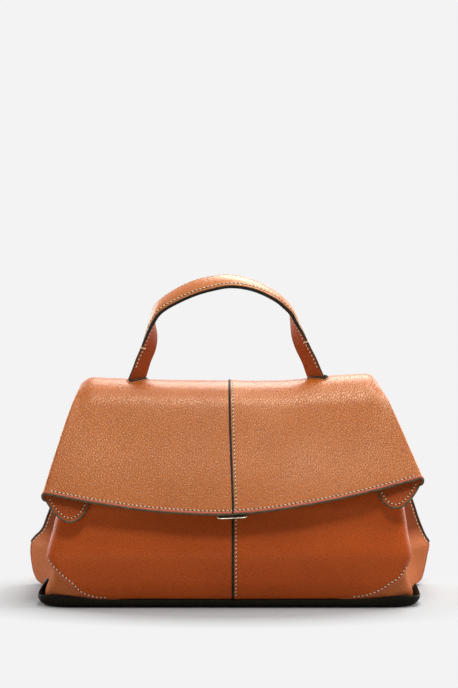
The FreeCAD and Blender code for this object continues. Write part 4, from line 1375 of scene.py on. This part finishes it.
def strap_section():
    """Section of the strap as shares of the half width and heights, and the surface after each point."""
    share = np.linspace(-1, 1, STRAP_STEPS)
    out = 1 + STRAP_BULGE / STRAP_HALF
    top = np.column_stack([share, crown_height(share)])
    over, under = STRAP_EDGE_SHARES
    front_edge = np.array([[out, STRAP_EDGE * over], [out, -STRAP_UNDER * under]])
    back_edge = front_edge[::-1] * np.array([-1, 1])
    bottom = np.column_stack([share[::-1], np.full(STRAP_STEPS, -STRAP_UNDER)])
    flat, edge = STRAP_STEPS - 1, len(front_edge) + 1
    kinds = np.repeat([0, 2, 1, 2], [flat, edge, flat, edge])
    return np.vstack([top, front_edge, bottom, back_edge]), kinds


def strap_mesh(path, front, face, where):
    section, kinds_round = strap_section()
    half, thick = strap_girth(path)
    across = half[:, None] * section[None, :, 0]
    high = thick[:, None] * section[None, :, 1]
    points = path[:, None] + front[:, None] * across[:, :, None] + face[:, None] * high[:, :, None]
    rows, columns = points.shape[:2]
    kinds = np.concatenate([np.tile(kinds_round, rows - 1), [2, 2]])
    flat = runs(section * np.array([STRAP_HALF, 1]))
    uvs = np.stack([np.tile(flat, rows), np.repeat(where, columns)], axis=-1)
    return add_mesh("handle_strap", points.reshape(-1, 3), tube_faces(rows, columns), uvs,
                    [strap_leather, inner_leather, paint], kinds, STRAP_SMOOTH_ANGLE)


def strap_rows(path, front, face):
    """Stitch rows above the bartacks: both sides of the face, and the front side of the underside."""
    half, thick = strap_girth(path)
    sewn = path[:, 2] > np.where(path[:, 0] < 0, *BARTACK_Z)
    inset_share = 1 - STRAP_STITCH / half
    reach = front * (inset_share * half)[:, None]
    high = thick * crown_height(inset_share) + STRAP_STITCH_LIFT
    rows = []
    for side in (1, -1):
        up = unit(face * math.cos(STRAP_STITCH_TILT) + side * front * math.sin(STRAP_STITCH_TILT))
        row = path + side * reach + face * high[:, None]
        rows.append((row[sewn], up[sewn]))
    row = path + reach - face * (thick * STRAP_UNDER + STRAP_STITCH_LIFT)[:, None]
    above = path[:, 2] > STRAP_SEWN_LOW
    rows.append((row[above], -face[above]))
    return rows


def bartacks(path, front, face):
    """Thread loops over the strap's front edge where the stitching ends near each foot."""
    half, thick = strap_girth(path)
    ways = unit(np.array(BARTACK_WAYS, float))
    pieces = []
    for side, z, name in ((-1, BARTACK_Z[0], "left"), (1, BARTACK_Z[1], "right")):
        place = leg_point(path, side, z)
        across, up = front[place], face[place]
        out = half[place] + STRAP_BULGE
        low = -thick[place] * STRAP_UNDER - BARTACK_UNDER
        high = thick[place] * STRAP_EDGE + BARTACK_OVER
        corners = np.array([
            [out - BARTACK_WIDE, low], [out - BARTACK_IN, low], [out, low + BARTACK_UP],
            [out, high - BARTACK_UP], [out - BARTACK_IN, high], [out - BARTACK_WIDE, high + BARTACK_RISE],
        ])
        loop = path[place] + corners[:, :1] * across + corners[:, 1:] * up
        pieces.append(bead(f"handle_bartack_{name}", loop, ways[:, :1] * across + ways[:, 1:] * up,
                           (STITCH_WIDE, STITCH_HIGH * 2), stitch_thread))
    return pieces


def strap():
    path, front, face, where = handle_frames()
    piece = strap_mesh(path, front, face, where)
    dress(piece, "front_leather", "handle_top", "handle_core", "handle_underside")
    sewn = [stitches("handle_stitching", strap_rows(path, front, face)), *bartacks(path, front, face)]
    for made in (piece, *sewn):
        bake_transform(made)


# Pieces that keep their CAD shape and get a better finish

def finish_nodes():
    finishes = {"base_board": board_card, "catch_magnet": steel, "flap_magnet": steel}
    for name, material in finishes.items():
        for slot in bpy.data.objects[name].material_slots:
            slot.link = "OBJECT"
            slot.material = material


# Stage

def seen_directly(tree):
    """1 where a camera, glossy or transmitted ray meets the surface, else 0."""
    light_path = add_node(tree, "LightPath", {}).outputs
    either = combine(tree, "MAXIMUM", light_path["Is Camera Ray"], light_path["Is Glossy Ray"])
    return combine(tree, "MAXIMUM", either, light_path["Is Transmission Ray"])


def mix_shaders(tree, factor, first, second, output):
    """Show the first shader, or the second one where the factor is 1."""
    mix = add_node(tree, "MixShader", {0: factor, 1: first.outputs[0], 2: second.outputs[0]})
    tree.links.new(mix.outputs[0], tree.nodes[output].inputs["Surface"])


def floor():
    """Floor that takes the bag's cast shadow. Its paper is darker than the plain background, as painted
    shade round the bag, and it turns into the plain background further out.
    """
    mesh = bpy.data.meshes.new("floor")
    size = FLOOR_HALF
    corners = [(-size, -size, 0), (size, -size, 0), (size, size, 0), (-size, size, 0)]
    mesh.from_pydata(corners, [], [(0, 1, 2, 3)])
    material, tree, shader = new_material("floor_paper_painted_shade")
    set_inputs(tree, shader, {"Base Color": SHADED_FLOOR_PAPER, "Roughness": 0.9, "Specular IOR Level": 0.1})
    scaled = add_node(tree, "VectorMath", {0: object_place(tree), 1: FLOOR_FADE}, operation="MULTIPLY")
    away = add_node(tree, "VectorMath", {0: scaled.outputs["Vector"]}, operation="LENGTH").outputs["Value"]
    plain = spread(tree, away, *FLOOR_FADE_RANGE, 0.0, 1.0)
    glow = add_node(tree, "Emission", {"Color": FLOOR_TONE, "Strength": 1.0})
    shown = combine(tree, "MULTIPLY", plain, seen_directly(tree))
    mix_shaders(tree, shown, shader, glow, "Material Output")
    mesh.materials.append(material)
    piece = bpy.data.objects.new("floor", mesh)
    bpy.context.scene.collection.objects.link(piece)


def lamp(name, place, target, size, watts):
    data = bpy.data.lights.new(name, "AREA")
    data.shape = "RECTANGLE"
    data.size, data.size_y = size
    data.energy = watts
    piece = bpy.data.objects.new(name, data)
    piece.location = place
    piece.rotation_euler = (Vector(target) - Vector(place)).to_track_quat("-Z", "Y").to_euler()
    bpy.context.scene.collection.objects.link(piece)


def world_light():
    world = bpy.data.worlds.new("studio")
    world.use_nodes = True
    tree = world.node_tree
    background = tree.nodes["Background"]
    set_inputs(tree, background, {"Color": WHITE, "Strength": WORLD_LEVEL})
    seen = add_node(tree, "Background", {"Color": FLOOR_TONE, "Strength": 1.0})
    mix_shaders(tree, seen_directly(tree), background, seen, "World Output")
    bpy.context.scene.world = world


def camera():
    data = bpy.data.cameras.new("camera")
    data.sensor_fit = "AUTO"
    data.sensor_width = SENSOR
    data.lens = FOCAL_PIXELS / FRAME_HIGH * SENSOR
    data.clip_end = CAMERA_SIGHT
    piece = bpy.data.objects.new("camera", data)
    up = math.radians(CAMERA_ELEVATION)
    target = Vector(CAMERA_TARGET) * MM
    piece.location = target + Vector((0, -math.cos(up), math.sin(up))) * CAMERA_DISTANCE * MM
    pitch = up - math.atan(TARGET_DROP_PIXELS / FOCAL_PIXELS)
    piece.rotation_euler = (math.pi / 2 - pitch, 0, 0)
    bpy.context.scene.collection.objects.link(piece)
    bpy.context.scene.camera = piece


def stage():
    floor()
    world_light()
    for row in LAMPS:
        lamp(*row)
    camera()
    bpy.context.scene.view_settings.view_transform = "Standard"


stage()
panel_grids = side_sheets("front_panel", panel_grid, LEATHER, panel_leather)
gusset_grids = side_sheets("gusset", gusset_grid, THIN_LEATHER, side_leather)
back_grid = back_sheet()
base()
body_trim(panel_grids, gusset_grids, back_grid)
lining()
lining_floor()
facings()
pocket()
build_flap()
strap()
finish_nodes()

bpy.context.view_layer.update()
